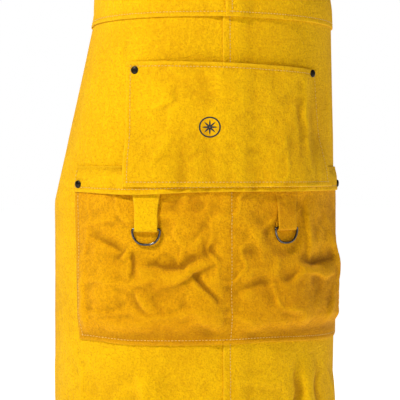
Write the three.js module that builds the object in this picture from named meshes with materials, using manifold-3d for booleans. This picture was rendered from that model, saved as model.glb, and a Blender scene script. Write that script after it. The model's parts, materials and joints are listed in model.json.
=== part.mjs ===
// Welding apron: a bib apron of split cowhide, in the shape it takes when it is worn.
// Millimetres, +Z up, front towards -Y. The origin is where the neck strap rests on the nape.
//
// Every leather piece is drawn in flat terms, as a distance `u` round the wearer from the centre
// seam and a height `z`, and is then wrapped on the wearer's outline at its own lift.
import * as THREE from 'three';
import Module from 'manifold-3d';
import { mergeVertices } from 'three/addons/utils/BufferGeometryUtils.js';

const wasm = await Module();
wasm.setup();

// ---------------------------------------------------------------- leather and fits
const LEATHER = 1.8;              // thickness of the split cowhide
const PLY_GAP = 0.5;              // clearance between two plies that lie on each other
const PLY = LEATHER + PLY_GAP;    // lift from one ply to the next
const FIT_GAP = 0.4;              // clearance of metal in leather and of metal in metal
const CELL = 20;                  // pitch of the facets round the wearer
const ROW = 50;                   // pitch of the facets up the wearer

// ---------------------------------------------------------------- wearer's outline
const AXIS_Y = -75;               // wearer's axis, in front of the nape
const FRONT_DEPTH = 130;          // axis to the belly
const CHEST_DEPTH = 118;          // axis to the chest, at the bib's top
const BACK_DEPTH = 100;           // axis to the flat of the back
const BACK_FLAT = 110;            // half width of the flat of the back
const HIP_HALF = 190;             // half width at the hips
const WAIST_HALF = 158;           // half width at the waist
const WAIST_SHIFT = 25;           // sideways lean of the waist over the hips
const HIP_DROP = 250;             // height over which the waist widens to the hips

// ---------------------------------------------------------------- apron, heights and half widths
const BIB_TOP_Z = -190;           // top edge of the bib, below the nape
const BIB_HEIGHT = 300;
const SKIRT_LENGTH = 767;
const BIB_TOP_HALF = 140;         // half width of the bib's top edge
const SKIRT_HALF = 318;           // half width of the skirt, and of the bib where they meet
const HEM_CORNER = 60;            // radius of the skirt's lower corners
const WAIST_LAP = 18;             // height by which the bib laps over the skirt
const CENTRE_LAP_LEFT = 6;        // right panels reach this far past the centre
const CENTRE_LAP_RIGHT = 14;      // left panels reach this far under the right ones
const LAP_FADE = 22;              // width over which a lapping ply comes down again
const WAIST_Z = BIB_TOP_Z - BIB_HEIGHT;
const HEM_Z = WAIST_Z - SKIRT_LENGTH;
const EDGE_ZONE = BIB_TOP_HALF / 2;   // columns nearer the front than this stay in place

// ---------------------------------------------------------------- pockets and flap
const BELLY_TOP = WAIST_Z - 57;   // mouth of the belly pocket
const BELLY_HEIGHT = 155;
const BELLY_LEFT = -126;
const BELLY_WIDTH = 266;           // along the mouth
const BELLY_FLARE = 28;           // how much wider the belly pocket is at its bottom, all on the right
const BELLY_BULGE = 11;           // room in the belly pocket
const BELLY_SEAM = 0.08;          // share of the belly pocket's width that is sewn flat at each side
const FLAP_HEIGHT = 32;
const FLAP_HANG = 6;              // the flap hangs this far below the belly pocket
const FLAP_LEFT = -200;
const FLAP_WIDTH = 416;
const LAP_POCKET_TOP_GAP = 15;    // mouth of the lower pocket, below the flap's top edge
const LAP_POCKET_HEIGHT = 208;
const LAP_POCKET_BULGE = 13;      // room in each half of the lower pocket
const BELLY_BOTTOM = BELLY_TOP - BELLY_HEIGHT;
const BELLY_RIGHT = BELLY_LEFT + BELLY_WIDTH;
const BELLY_FLARE_FROM = BELLY_RIGHT - 26;
const FLARE_EASE = 0.7;           // extra room under the flared edge
const BELLY_OVER_FLAP = 1;        // extra room over the flap, whose bends fall at other places
const FLAP_BOTTOM = BELLY_BOTTOM - FLAP_HANG;
const FLAP_TOP = FLAP_BOTTOM + FLAP_HEIGHT;
const LAP_POCKET_TOP = FLAP_TOP - LAP_POCKET_TOP_GAP;
const LAP_POCKET_BOTTOM = LAP_POCKET_TOP - LAP_POCKET_HEIGHT;

// ---------------------------------------------------------------- D rings and their tabs
const RING_WIRE = 3;
const RING_WIDTH = 38;            // outside, along the straight bar
const RING_DROP = 21;             // bar centre to the bottom of the bow, outside
const TAB_LEFT_U = -99;
const TAB_RIGHT_U = 81;
const TAB_LENGTH = 46;            // free length of the tab below the flap
const TAB_TUCK = 9;               // length of the tab that is sewn in under the flap
const TAB_WIDTH = RING_WIDTH - 2 * RING_WIRE - 2 * FIT_GAP;
const TAB_EASE = 4.6;             // extra room under the flap, which is round where the tab is flat
const TAB_STACK = 2 * LEATHER + RING_WIRE + 4 * FIT_GAP + TAB_EASE;
const LAP_SEAM_U = (CENTRE_LAP_RIGHT - CENTRE_LAP_LEFT) / 2;
const LAP_SEAM_HALF = 3;          // half width of the lower pocket's centre seam
const LAP_POCKET_ROOM = TAB_RIGHT_U - TAB_WIDTH / 2 - 6 - LAP_SEAM_U;   // width of its room

// ---------------------------------------------------------------- rivets
const RIVET_CAP = 10;             // diameter of the domed cap
const RIVET_DOME = 2.2;
const RIVET_SHANK = 3.6;
const RIVET_INSET = 9;            // rivet to the edge of its piece
const CAP_SEAT = 0.6;             // gap under the flat of a cap on rounded leather
const BURR_SEAT = 1.9;            // gap over the washer, on the hollow side
const BURR = 8.5;                 // diameter of the washer behind
const BURR_THICK = 1.2;
const TAIL = 0.6;                 // shank showing behind the washer

// ---------------------------------------------------------------- straps, ring, slides and buckle
const STRAP_WIDTH = 25;
const STRAP_LAP = 40;             // length of strap sewn on the apron
const NECK_TAB_LENGTH = 26;       // free length of the short neck tab
const TAIL_LENGTH = 88;           // doubled back strap end
const BAR = 3;                    // bar or wire that a strap turns round
const SLIDE_LENGTH = 20;
const SLIDE_BAR = 2.4;
const WAIST_STRAP_RISE = 34;      // middle of the waist strap, above the waist seam
const BUCKLE_X = 0;               // parting line of the buckle, from the wearer's axis
const SOCKET_LENGTH = 36;
const SOCKET_THICK = 8.4;
const SOCKET_WALL = 1.6;
const SOCKET_SIDE = 3;
const SLOT = 4.6;                 // strap slot of a buckle half
const PLUG_LENGTH = 16;
const PRONG_LENGTH = 20;
const PRONG_WIDTH = 3.6;
const PRONG_THICK = 4.4;
const GUIDE_HALF = 3;
const BUTTON_LENGTH = 8;
const BUTTON_BACK = 3;            // button behind the tip of its prong
const WINDOW_SPARE = 2;           // socket's window beyond the button, at each end
const BUTTON_PROUD = 0.8;         // button above the side of the socket
const PRONG_CATCH = 1.2;          // catch behind the edge of the socket's window
const BUCKLE_HALF = STRAP_WIDTH / 2 + FIT_GAP + SOCKET_SIDE;
const PRONG_PIVOT = (GUIDE_HALF + BUCKLE_HALF - SOCKET_SIDE) / 2;
const SHOULDER_X = 80;            // where the neck strap crosses the shoulder
const SHOULDER_FORWARD = 38;
const SHOULDER_Z = -48;

// ---------------------------------------------------------------- colours
const YELLOW_LEATHER = { color: 0xf1bd0c, roughness: 0.85, metalness: 0 };
const ORANGE_LEATHER = { color: 0xe39c0a, roughness: 0.85, metalness: 0 };
const STEEL = { color: 0x9a9a98, roughness: 0.35, metalness: 1 };
const DARK_STEEL = { color: 0x3c3a38, roughness: 0.4, metalness: 1 };
const BLACK_PLASTIC = { color: 0x1c1c1d, roughness: 0.5, metalness: 0 };

const apron = new THREE.Group();

function addPiece(name, geometry, finish) {
  const piece = new THREE.Mesh(geometry, new THREE.MeshStandardMaterial(finish));
  piece.name = name;
  apron.add(piece);
  return piece;
}

// ---------------------------------------------------------------- small helpers
function smooth(low, high, value) {
  const share = THREE.MathUtils.clamp((value - low) / (high - low), 0, 1);
  return share * share * (3 - 2 * share);
}

// Positions from low to high: both ends, the shared lines that fall between them, and the
// multiples of pitch that aren't close to a shared line.
function gridLines(low, high, pitch, shared) {
  const lines = [low, high, ...shared.filter((line) => line > low && line < high)];
  for (let k = Math.ceil(low / pitch); k * pitch < high; k += 1) {
    const multiple = k * pitch;
    if (shared.every((line) => Math.abs(line - multiple) > pitch * 0.35)) {
      lines.push(multiple);
    }
  }
  lines.sort((a, b) => a - b);
  return lines.filter((line, index) => index === 0 || line - lines[index - 1] > 0.01);
}

// Wearer's outline at a height, as points, outward normals and distances from the front centre.
const outlines = new Map();
function outlineAt(z) {
  const key = z.toFixed(3);
  if (!outlines.has(key)) {
    outlines.set(key, traceOutline(z));
  }
  return outlines.get(key);
}

function traceOutline(z) {
  const hips = THREE.MathUtils.clamp((WAIST_Z + WAIST_LAP - z) / HIP_DROP, 0, 1);
  const chest = smooth(WAIST_Z, BIB_TOP_Z, z);
  const halfWidth = THREE.MathUtils.lerp(WAIST_HALF, HIP_HALF, hips);
  const shift = WAIST_SHIFT * (1 - hips) * (1 - chest);
  const front = THREE.MathUtils.lerp(FRONT_DEPTH, CHEST_DEPTH, chest);
  const points = [];
  const normals = [];
  const addPoint = (x, y, nx, ny) => {
    points.push(new THREE.Vector2(x + shift, y + AXIS_Y));
    normals.push(new THREE.Vector2(nx, ny).normalize());
  };
  const steps = 180;
  const corner = halfWidth - BACK_FLAT;
  addPoint(-shift, BACK_DEPTH, 0, 1);
  for (let k = 0; k < steps; k += 1) {
    const angle = Math.PI / 2 * (k / steps);
    addPoint(-BACK_FLAT - corner * Math.sin(angle), BACK_DEPTH * Math.cos(angle),
      -Math.sin(angle) * BACK_DEPTH, Math.cos(angle) * corner);
  }
  for (let k = 0; k < 2 * steps; k += 1) {
    const angle = Math.PI / 2 * (k / steps - 1);
    addPoint(halfWidth * Math.sin(angle), -front * Math.cos(angle),
      Math.sin(angle) * front, -Math.cos(angle) * halfWidth);
  }
  for (let k = 0; k <= steps; k += 1) {
    const angle = Math.PI / 2 * (k / steps);
    addPoint(BACK_FLAT + corner * Math.cos(angle), BACK_DEPTH * Math.sin(angle),
      Math.cos(angle) * BACK_DEPTH, Math.sin(angle) * corner);
  }
  addPoint(-shift, BACK_DEPTH, 0, 1);
  const along = [0];
  let centre = 0;
  for (let k = 1; k < points.length; k += 1) {
    const step = points[k].distanceTo(points[k - 1]);
    along.push(along[k - 1] + step);
    const isFront = points[k].y < AXIS_Y;
    if (isFront && points[k - 1].x < 0 && points[k].x >= 0) {
      centre = along[k - 1] + step * points[k - 1].x / (points[k - 1].x - points[k].x);
    }
  }
  const distances = along.map((length) => length - centre);
  return { points, normals, distances };
}

// A point on the wearer, its outward normal and the direction of growing u.
function wrap(u, z, lift) {
  const { points, normals, distances } = outlineAt(z);
  let low = 0;
  let high = distances.length - 1;
  const place = THREE.MathUtils.clamp(u, distances[0], distances[high]);
  while (high - low > 1) {
    const middle = (low + high) >> 1;
    if (distances[middle] <= place) {
      low = middle;
    } else {
      high = middle;
    }
  }
  const share = (place - distances[low]) / (distances[high] - distances[low]);
  const flat = points[low].clone().lerp(points[high], share);
  const turned = normals[low].clone().lerp(normals[high], share).normalize();
  const normal = new THREE.Vector3(turned.x, turned.y, 0);
  const point = new THREE.Vector3(flat.x, flat.y, z).addScaledVector(normal, lift);
  const tangent = new THREE.Vector3(-turned.y, turned.x, 0);
  return { point, normal, tangent };
}

// Closed body between two matching grids of points, outer and inner, each [row][column].
function shellBetween(outer, inner) {
  const rows = outer.length;
  const columns = outer[0].length;
  const positions = [];
  for (const grid of [outer, inner]) {
    for (const row of grid) {
      for (const point of row) {
        positions.push(point.x, point.y, point.z);
      }
    }
  }
  const indices = [];
  const at = (side, row, column) => (side * rows + row) * columns + column;
  const quad = (a, b, c, d) => indices.push(a, b, c, a, c, d);
  for (let r = 0; r < rows - 1; r += 1) {
    for (let c = 0; c < columns - 1; c += 1) {
      quad(at(0, r, c), at(0, r, c + 1), at(0, r + 1, c + 1), at(0, r + 1, c));
      quad(at(1, r, c), at(1, r + 1, c), at(1, r + 1, c + 1), at(1, r, c + 1));
    }
  }
  for (let c = 0; c < columns - 1; c += 1) {
    quad(at(0, 0, c), at(1, 0, c), at(1, 0, c + 1), at(0, 0, c + 1));
    quad(at(0, rows - 1, c + 1), at(1, rows - 1, c + 1), at(1, rows - 1, c), at(0, rows - 1, c));
  }
  for (let r = 0; r < rows - 1; r += 1) {
    quad(at(0, r + 1, 0), at(1, r + 1, 0), at(1, r, 0), at(0, r, 0));
    const last = columns - 1;
    quad(at(0, r, last), at(1, r, last), at(1, r + 1, last), at(0, r + 1, last));
  }
  const geometry = new THREE.BufferGeometry();
  geometry.setAttribute('position', new THREE.Float32BufferAttribute(positions, 3));
  geometry.setIndex(indices);
  return geometry;
}

// Leather panel: heights from low to high, columns in u, a lift in mm and, where the edge
// isn't straight, a function that moves a column for its height.
function leatherPanel(heights, columns, liftAt, moveColumn = (u) => u) {
  const outer = [];
  const inner = [];
  for (const z of heights) {
    const places = columns.map((u) => moveColumn(u, z));
    outer.push(places.map((u, index) => wrap(u, z, liftAt(u, z, columns[index]) + LEATHER).point));
    inner.push(places.map((u, index) => wrap(u, z, liftAt(u, z, columns[index])).point));
  }
  return shellBetween(outer, inner);
}

// ---------------------------------------------------------------- manifold joins and cuts
function toSolid(geometry) {
  const bare = geometry.clone();
  bare.deleteAttribute('normal');
  bare.deleteAttribute('uv');
  const merged = mergeVertices(bare, 1e-4);
  return new wasm.Manifold(new wasm.Mesh({
    numProp: 3,
    vertProperties: new Float32Array(merged.attributes.position.array),
    triVerts: new Uint32Array(merged.index.array),
  }));
}

function toGeometry(solid) {
  const mesh = solid.getMesh();
  const geometry = new THREE.BufferGeometry();
  geometry.setAttribute('position', new THREE.BufferAttribute(new Float32Array(mesh.vertProperties), 3));
  geometry.setIndex(new THREE.BufferAttribute(new Uint32Array(mesh.triVerts), 1));
  return geometry;
}

function join(geometries) {
  return toGeometry(geometries.map(toSolid).reduce((whole, next) => whole.add(next)));
}

function cut(geometry, tools) {
  return toGeometry(tools.map(toSolid).reduce((whole, tool) => whole.subtract(tool), toSolid(geometry)));
}

// ---------------------------------------------------------------- lifts of the plies
// Ridge in every piece that lies over the centre lap of the two halves.
function lapRidge(u) {
  const rise = smooth(-CENTRE_LAP_LEFT - LAP_FADE, -CENTRE_LAP_LEFT - PLY_GAP, u);
  return rise * rightLap(u);
}

// A right panel is up on the left one as far as the lap goes, and then comes down.
function rightLap(u) {
  return 1 - smooth(CENTRE_LAP_RIGHT + PLY_GAP, CENTRE_LAP_RIGHT + LAP_FADE, u);
}

// The bib is up on the skirt as far as the waist lap goes.
function waistLap(z) {
  return 1 - smooth(WAIST_Z + WAIST_LAP + 2, WAIST_Z + 3 * WAIST_LAP, z);
}

// Room in the two halves of the lower pocket, beside its centre seam.
function lapPocketRoom(u, z) {
  const reach = Math.abs(u - LAP_SEAM_U);
  const sideways = smooth(LAP_SEAM_HALF, LAP_SEAM_HALF + 12, reach)
    * (1 - smooth(LAP_POCKET_ROOM - 14, LAP_POCKET_ROOM, reach));
  const up = smooth(LAP_POCKET_BOTTOM + 6, LAP_POCKET_BOTTOM + 46, z);
  return LAP_POCKET_BULGE * sideways * up;
}

// The flap goes out over the lower pocket's mouth and over the doubled tabs.
function flapRise(u, z) {
  const down = 1 - smooth(LAP_POCKET_TOP, FLAP_TOP, z);
  const mouth = Math.min(z, LAP_POCKET_TOP);
  return down * (PLY + tabZone(u) * TAB_STACK + lapPocketRoom(u, mouth));
}

function tabZone(u) {
  const half = TAB_WIDTH / 2;
  const near = Math.min(Math.abs(u - TAB_LEFT_U), Math.abs(u - TAB_RIGHT_U));
  return 1 - smooth(half + 3, half + 16, near);
}

function bellyRoom(u, z) {
  const share = (u - BELLY_LEFT) / BELLY_WIDTH;
  const sideways = smooth(BELLY_SEAM, 0.28, share) * (1 - smooth(0.72, 1 - BELLY_SEAM, share));
  const up = smooth(FLAP_TOP + 4, FLAP_TOP + 44, z);
  return BELLY_BULGE * sideways * up;
}

// Rows and columns that every piece shares, so that the facets of two plies lie parallel.
const sharedRows = [
  FLAP_TOP, FLAP_BOTTOM, LAP_POCKET_TOP, BELLY_BOTTOM, BELLY_TOP, WAIST_Z, WAIST_Z + WAIST_LAP,
  (FLAP_TOP + LAP_POCKET_TOP) / 2, FLAP_TOP + 12, FLAP_TOP + 24, WAIST_Z + WAIST_LAP * 2,
];
const sharedColumns = [
  -CENTRE_LAP_LEFT, CENTRE_LAP_RIGHT, -CENTRE_LAP_LEFT - LAP_FADE, CENTRE_LAP_RIGHT + LAP_FADE,
  BELLY_LEFT, BELLY_LEFT + BELLY_WIDTH, FLAP_LEFT, FLAP_LEFT + FLAP_WIDTH,
];
for (const middle of [TAB_LEFT_U, TAB_RIGHT_U]) {
  for (const side of [-1, 1]) {
    sharedColumns.push(middle + side * (TAB_WIDTH / 2 + 3), middle + side * (TAB_WIDTH / 2 + 16));
  }
}
const rowsBetween = (low, high) => gridLines(low, high, ROW, sharedRows);
const columnsBetween = (low, high) => gridLines(low, high, CELL, sharedColumns);

// ---------------------------------------------------------------- leather body
// Columns outside this zone follow the side edge, and those inside it run straight down.
function followEdge(u, halfNow) {
  const reach = Math.abs(u);
  if (reach <= EDGE_ZONE) {
    return u;
  }
  const share = (reach - EDGE_ZONE) / (SKIRT_HALF - EDGE_ZONE);
  return Math.sign(u) * (EDGE_ZONE + share * (halfNow - EDGE_ZONE));
}

function bibEdge(u, z) {
  const up = THREE.MathUtils.clamp((z - WAIST_Z - 2 * WAIST_LAP) / (BIB_HEIGHT - 2 * WAIST_LAP), 0, 1);
  const halfNow = BIB_TOP_HALF + (SKIRT_HALF - BIB_TOP_HALF) * (1 - up) ** 2;
  return followEdge(u, halfNow);
}

function skirtEdge(u, z) {
  const up = Math.min(z - HEM_Z, HEM_CORNER);
  const narrowing = HEM_CORNER - Math.sqrt(HEM_CORNER ** 2 - (HEM_CORNER - up) ** 2);
  return followEdge(u, SKIRT_HALF - narrowing);
}

function makeSkirt() {
  const rows = gridLines(HEM_Z, WAIST_Z + WAIST_LAP, ROW, [
    ...sharedRows, HEM_Z + HEM_CORNER * 0.08, HEM_Z + HEM_CORNER * 0.35,
  ]);
  const left = leatherPanel(rows, columnsBetween(-SKIRT_HALF, CENTRE_LAP_RIGHT), () => 0, skirtEdge);
  const right = leatherPanel(
    rows, columnsBetween(-CENTRE_LAP_LEFT, SKIRT_HALF), (u) => PLY * rightLap(u), skirtEdge);
  return { left, right };
}

function makeBib() {
  const rows = rowsBetween(WAIST_Z, BIB_TOP_Z);
  const left = leatherPanel(
    rows, columnsBetween(-SKIRT_HALF, CENTRE_LAP_RIGHT),
    (u, z) => PLY * waistLap(z) * (1 + lapRidge(u)), bibEdge);
  const right = leatherPanel(
    rows, columnsBetween(-CENTRE_LAP_LEFT, SKIRT_HALF),
    (u, z) => PLY * (rightLap(u) + waistLap(z) * (1 + rightLap(u))), bibEdge);
  return { left, right };
}

function makeLowerPocket() {
  const rows = rowsBetween(LAP_POCKET_BOTTOM, LAP_POCKET_TOP);
  const columns = columnsBetween(FLAP_LEFT, FLAP_LEFT + FLAP_WIDTH);
  return leatherPanel(rows, columns, (u, z) => PLY * (1 + lapRidge(u)) + lapPocketRoom(u, z));
}

function makeFlap() {
  const rows = rowsBetween(FLAP_BOTTOM, FLAP_TOP);
  const columns = columnsBetween(FLAP_LEFT, FLAP_LEFT + FLAP_WIDTH);
  return leatherPanel(rows, columns, (u, z) => PLY * (1 + lapRidge(u)) + flapRise(u, z));
}

// The belly pocket's right edge flares outwards towards the bottom.
function bellyEdge(u, z) {
  const down = (BELLY_TOP - z) / BELLY_HEIGHT;
  return u + BELLY_FLARE * flareShare(u) * down ** 1.5;
}

function flareShare(u) {
  return THREE.MathUtils.clamp((u - BELLY_FLARE_FROM) / (BELLY_RIGHT - BELLY_FLARE_FROM), 0, 1);
}

function makeBellyPocket() {
  const rows = rowsBetween(BELLY_BOTTOM, BELLY_TOP);
  const columns = columnsBetween(BELLY_LEFT, BELLY_RIGHT);
  const overFlap = (z) => (PLY + BELLY_OVER_FLAP) * (1 - smooth(FLAP_TOP + 2, FLAP_TOP + 24, z));
  const overPlies = (u, z) => PLY * (1 + lapRidge(u)) + overFlap(z) + flapRise(u, z);
  const liftAt = (u, z) => overPlies(u, z) + bellyRoom(u, z) + FLARE_EASE * flareShare(u);
  return leatherPanel(rows, columns, liftAt, bellyEdge);
}

// ---------------------------------------------------------------- turned and local shapes
// Matrix whose Z is the outward normal at a place on the apron, and whose Y is up.
function frameOn(u, z, lift) {
  const { point, normal, tangent } = wrap(u, z, lift);
  const up = new THREE.Vector3().crossVectors(normal, tangent);
  return new THREE.Matrix4().makeBasis(tangent, up, normal).setPosition(point);
}

function turned(profile, segments = 14) {
  const outline = profile.map(([radius, height]) => new THREE.Vector2(radius, height));
  const geometry = new THREE.LatheGeometry(outline, segments);
  geometry.rotateX(Math.PI / 2);
  return geometry;
}

// Rivet with a domed cap outside and a shank through `depth` of leather, along local Z.
function rivetShape(depth) {
  const cap = RIVET_CAP / 2;
  const shank = RIVET_SHANK / 2;
  const end = -depth - BURR_SEAT - BURR_THICK - TAIL;
  const profile = [[0, end], [shank, end], [shank, 0], [cap, 0], [cap, 0.5]];
  const steps = 3;
  for (let k = 1; k <= steps; k += 1) {
    const angle = Math.PI / 2 * (k / steps);
    profile.push([cap * Math.cos(angle), 0.5 + (RIVET_DOME - 0.5) * Math.sin(angle)]);
  }
  profile[profile.length - 1][0] = 0;
  return turned(profile);
}

function burrShape(depth) {
  const bore = RIVET_SHANK / 2 + FIT_GAP;
  const top = -depth - BURR_SEAT;
  const rim = BURR / 2;
  return turned([[bore, top - BURR_THICK], [rim, top - BURR_THICK], [rim, top], [bore, top],
    [bore, top - BURR_THICK]]);
}

function punchShape(depth) {
  const bore = RIVET_SHANK / 2 + FIT_GAP;
  return turned([[0, -depth - 6], [bore, -depth - 6], [bore, 6], [0, 6]], 12);
}

// ---------------------------------------------------------------- ribbon for straps and tabs
// Ribbon along stations, each with a point, an outward normal and a half width.
function ribbon(stations, thickness) {
  const outer = [];
  const inner = [];
  stations.forEach((station, index) => {
    const before = stations[Math.max(index - 1, 0)].point;
    const after = stations[Math.min(index + 1, stations.length - 1)].point;
    const along = after.clone().sub(before).normalize();
    const normal = station.normal.clone().addScaledVector(along, -station.normal.dot(along)).normalize();
    const across = new THREE.Vector3().crossVectors(along, normal);
    const rowOuter = [];
    const rowInner = [];
    for (const side of [1, -1]) {
      const edge = station.point.clone().addScaledVector(across, side * station.half);
      rowOuter.push(edge.clone().addScaledVector(normal, thickness / 2));
      rowInner.push(edge.clone().addScaledVector(normal, -thickness / 2));
    }
    outer.push(rowOuter);
    inner.push(rowInner);
  });
  return shellBetween(outer, inner);
}

// Half turn round a bar, from the inner layer to the outer one, and the tail that runs back.
// `along` points towards the bar, and the tail's length is counted from the bar.
function doubledBack(barCentre, along, normal, half, tail, radius) {
  const stations = [];
  const steps = 8;
  for (let k = 0; k <= steps; k += 1) {
    const angle = -Math.PI / 2 + Math.PI * (k / steps);
    const spoke = along.clone().multiplyScalar(Math.cos(angle)).addScaledVector(normal, Math.sin(angle));
    stations.push({ point: barCentre.clone().addScaledVector(spoke, radius), normal: spoke, half });
  }
  const lastPoint = stations[steps].point;
  stations.push({ point: lastPoint.clone().addScaledVector(along, -tail), normal, half });
  return stations;
}

const TURN_RADIUS = BAR / 2 + FIT_GAP + LEATHER / 2;

// ---------------------------------------------------------------- D rings and tabs
function tabPlace(u) {
  const barZ = FLAP_BOTTOM - TAB_LENGTH;
  const lift = 2 * PLY + FIT_GAP + LEATHER / 2 + TURN_RADIUS;
  return { barZ, lift, frame: frameOn(u, barZ, lift) };
}

// The tab is a strip folded round the ring's straight bar, both ends up under the flap.
function makeTab(u) {
  const { frame } = tabPlace(u);
  const height = TAB_LENGTH + TAB_TUCK;
  const down = new THREE.Vector3(0, -1, 0);
  const out = new THREE.Vector3(0, 0, 1);
  const half = TAB_WIDTH / 2;
  const start = new THREE.Vector3(0, height, -TURN_RADIUS);
  const stations = [{ point: start, normal: out.clone().negate(), half }];
  stations.push(...doubledBack(new THREE.Vector3(), down, out, half, height, TURN_RADIUS));
  return ribbon(stations, LEATHER).applyMatrix4(frame);
}

// D ring hanging from its straight bar: the bar on local X, the bow down.
function makeRing(u) {
  const { frame } = tabPlace(u);
  const wire = RING_WIRE / 2;
  const half = RING_WIDTH / 2 - wire;
  const drop = RING_DROP - wire;
  const corner = 3;
  const path = new THREE.CurvePath();
  const point = (x, y) => new THREE.Vector3(x, y, 0);
  path.add(new THREE.LineCurve3(point(-half + corner, 0), point(half - corner, 0)));
  path.add(new THREE.QuadraticBezierCurve3(point(half - corner, 0), point(half, 0), point(half, -corner)));
  path.add(new THREE.CubicBezierCurve3(
    point(half, -corner), point(half, -drop * 0.86), point(half * 0.55, -drop), point(0, -drop)));
  path.add(new THREE.CubicBezierCurve3(
    point(0, -drop), point(-half * 0.55, -drop), point(-half, -drop * 0.86), point(-half, -corner)));
  const turnStart = point(-half, -corner);
  const turnEnd = point(-half + corner, 0);
  path.add(new THREE.QuadraticBezierCurve3(turnStart, point(-half, 0), turnEnd));
  return ringTube(path, wire, 36, 8).applyMatrix4(frame);
}

// Closed tube of round wire along a closed flat path in local XY.
function ringTube(path, wire, steps, sides) {
  const positions = [];
  for (let k = 0; k < steps; k += 1) {
    const centre = path.getPointAt(k / steps);
    const tangent = path.getTangentAt(k / steps);
    const sideways = new THREE.Vector3(tangent.y, -tangent.x, 0).normalize();
    for (let s = 0; s < sides; s += 1) {
      const angle = 2 * Math.PI * (s / sides);
      const place = centre.clone().addScaledVector(sideways, wire * Math.cos(angle));
      positions.push(place.x, place.y, wire * Math.sin(angle));
    }
  }
  const indices = [];
  for (let k = 0; k < steps; k += 1) {
    const next = (k + 1) % steps;
    for (let s = 0; s < sides; s += 1) {
      const turn = (s + 1) % sides;
      const corners = [k * sides + s, k * sides + turn, next * sides + turn, next * sides + s];
      indices.push(corners[0], corners[1], corners[2], corners[0], corners[2], corners[3]);
    }
  }
  const geometry = new THREE.BufferGeometry();
  geometry.setAttribute('position', new THREE.Float32BufferAttribute(positions, 3));
  geometry.setIndex(indices);
  return facingOut(geometry);
}

// Turns every face round if the body has a negative volume.
function facingOut(geometry) {
  const place = geometry.attributes.position;
  const order = geometry.index.array;
  const corners = [new THREE.Vector3(), new THREE.Vector3(), new THREE.Vector3()];
  let volume = 0;
  for (let k = 0; k < order.length; k += 3) {
    corners.forEach((corner, side) => corner.fromBufferAttribute(place, order[k + side]));
    volume += corners[0].dot(corners[1].clone().cross(corners[2]));
  }
  if (volume < 0) {
    for (let k = 0; k < order.length; k += 3) {
      [order[k], order[k + 1]] = [order[k + 1], order[k]];
    }
  }
  return geometry;
}

function block(x0, x1, y0, y1, z0, z1) {
  const box = new THREE.BoxGeometry(x1 - x0, y1 - y0, z1 - z0);
  box.translate((x0 + x1) / 2, (y0 + y1) / 2, (z0 + z1) / 2);
  return box;
}

// Round bar from -half to half along an axis, 'x' or 'z', at x and y.
function roundBar(axis, x, y, half) {
  const bar = new THREE.CylinderGeometry(BAR / 2, BAR / 2, 2 * half, 12);
  if (axis === 'x') {
    bar.rotateZ(Math.PI / 2);
  } else {
    bar.rotateX(Math.PI / 2);
  }
  return bar.translate(x, y, 0);
}

// ---------------------------------------------------------------- slide on a doubled strap
// Local Y runs along the strap, X across it and Z outwards; Z = 0 is the middle of the gap
// between the two layers of strap.
function slideShape() {
  const inside = STRAP_WIDTH / 2 + FIT_GAP;
  const outside = inside + SLIDE_BAR;
  const layer = TURN_RADIUS + LEATHER / 2 + FIT_GAP;
  const end = SLIDE_LENGTH / 2;
  const bar = SLIDE_BAR / 2;
  return join([
    block(-outside, outside, -bar, bar, -bar, bar),
    block(-outside, outside, end - SLIDE_BAR, end, layer, layer + SLIDE_BAR),
    block(-outside, outside, -end, -end + SLIDE_BAR, layer, layer + SLIDE_BAR),
    block(-outside, -inside, -end, end, -bar, layer + SLIDE_BAR),
    block(inside, outside, -end, end, -bar, layer + SLIDE_BAR),
  ]);
}

// ---------------------------------------------------------------- neck strap
// The strap and the tab run straight from the bib's corner towards the shoulder.
function neckLine(side) {
  const u = side * (BIB_TOP_HALF - STRAP_WIDTH / 2 - 4);
  const lift = PLY + LEATHER / 2;
  const foot = wrap(u, BIB_TOP_Z - STRAP_LAP, lift);
  const top = wrap(u, BIB_TOP_Z, lift);
  const shoulder = new THREE.Vector3(side * SHOULDER_X, AXIS_Y - SHOULDER_FORWARD, SHOULDER_Z);
  const along = shoulder.clone().sub(top.point).normalize();
  return { u, foot, top, shoulder, along };
}

function squareTo(direction, vector) {
  return vector.clone().addScaledVector(direction, -vector.dot(direction)).normalize();
}

function neckRingPlace() {
  const { top, along } = neckLine(-1);
  const normal = squareTo(along, top.normal);
  const lowBar = top.point.clone().addScaledVector(along, NECK_TAB_LENGTH);
  lowBar.addScaledVector(normal, TURN_RADIUS);
  const pitch = 2 * (BAR / 2 + FIT_GAP + LEATHER) + BAR;
  const highBar = lowBar.clone().addScaledVector(along, pitch);
  const across = new THREE.Vector3().crossVectors(along, normal);
  const frame = new THREE.Matrix4().makeBasis(across, along, normal).setPosition(lowBar);
  return { lowBar, highBar, pitch, normal, along, across, frame };
}

function makeNeckTab() {
  const { foot, top, along } = neckLine(-1);
  const { lowBar, normal } = neckRingPlace();
  const half = STRAP_WIDTH / 2;
  const stations = [
    { point: foot.point, normal: foot.normal, half },
    { point: top.point, normal: top.normal, half },
  ];
  const turn = doubledBack(lowBar, along, normal, half, NECK_TAB_LENGTH - 4, TURN_RADIUS);
  return ribbon([...stations, ...turn], LEATHER);
}

function makeNeckRing() {
  const { pitch, frame } = neckRingPlace();
  const half = STRAP_WIDTH / 2 + FIT_GAP + BAR / 2;
  const bar = BAR / 2;
  const ring = join([
    roundBar('x', 0, 0, half + bar),
    roundBar('x', 0, pitch, half + bar),
    block(-half - bar, -half + bar, -bar, pitch + bar, -bar, bar),
    block(half - bar, half + bar, -bar, pitch + bar, -bar, bar),
  ]);
  return ring.applyMatrix4(frame);
}

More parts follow.
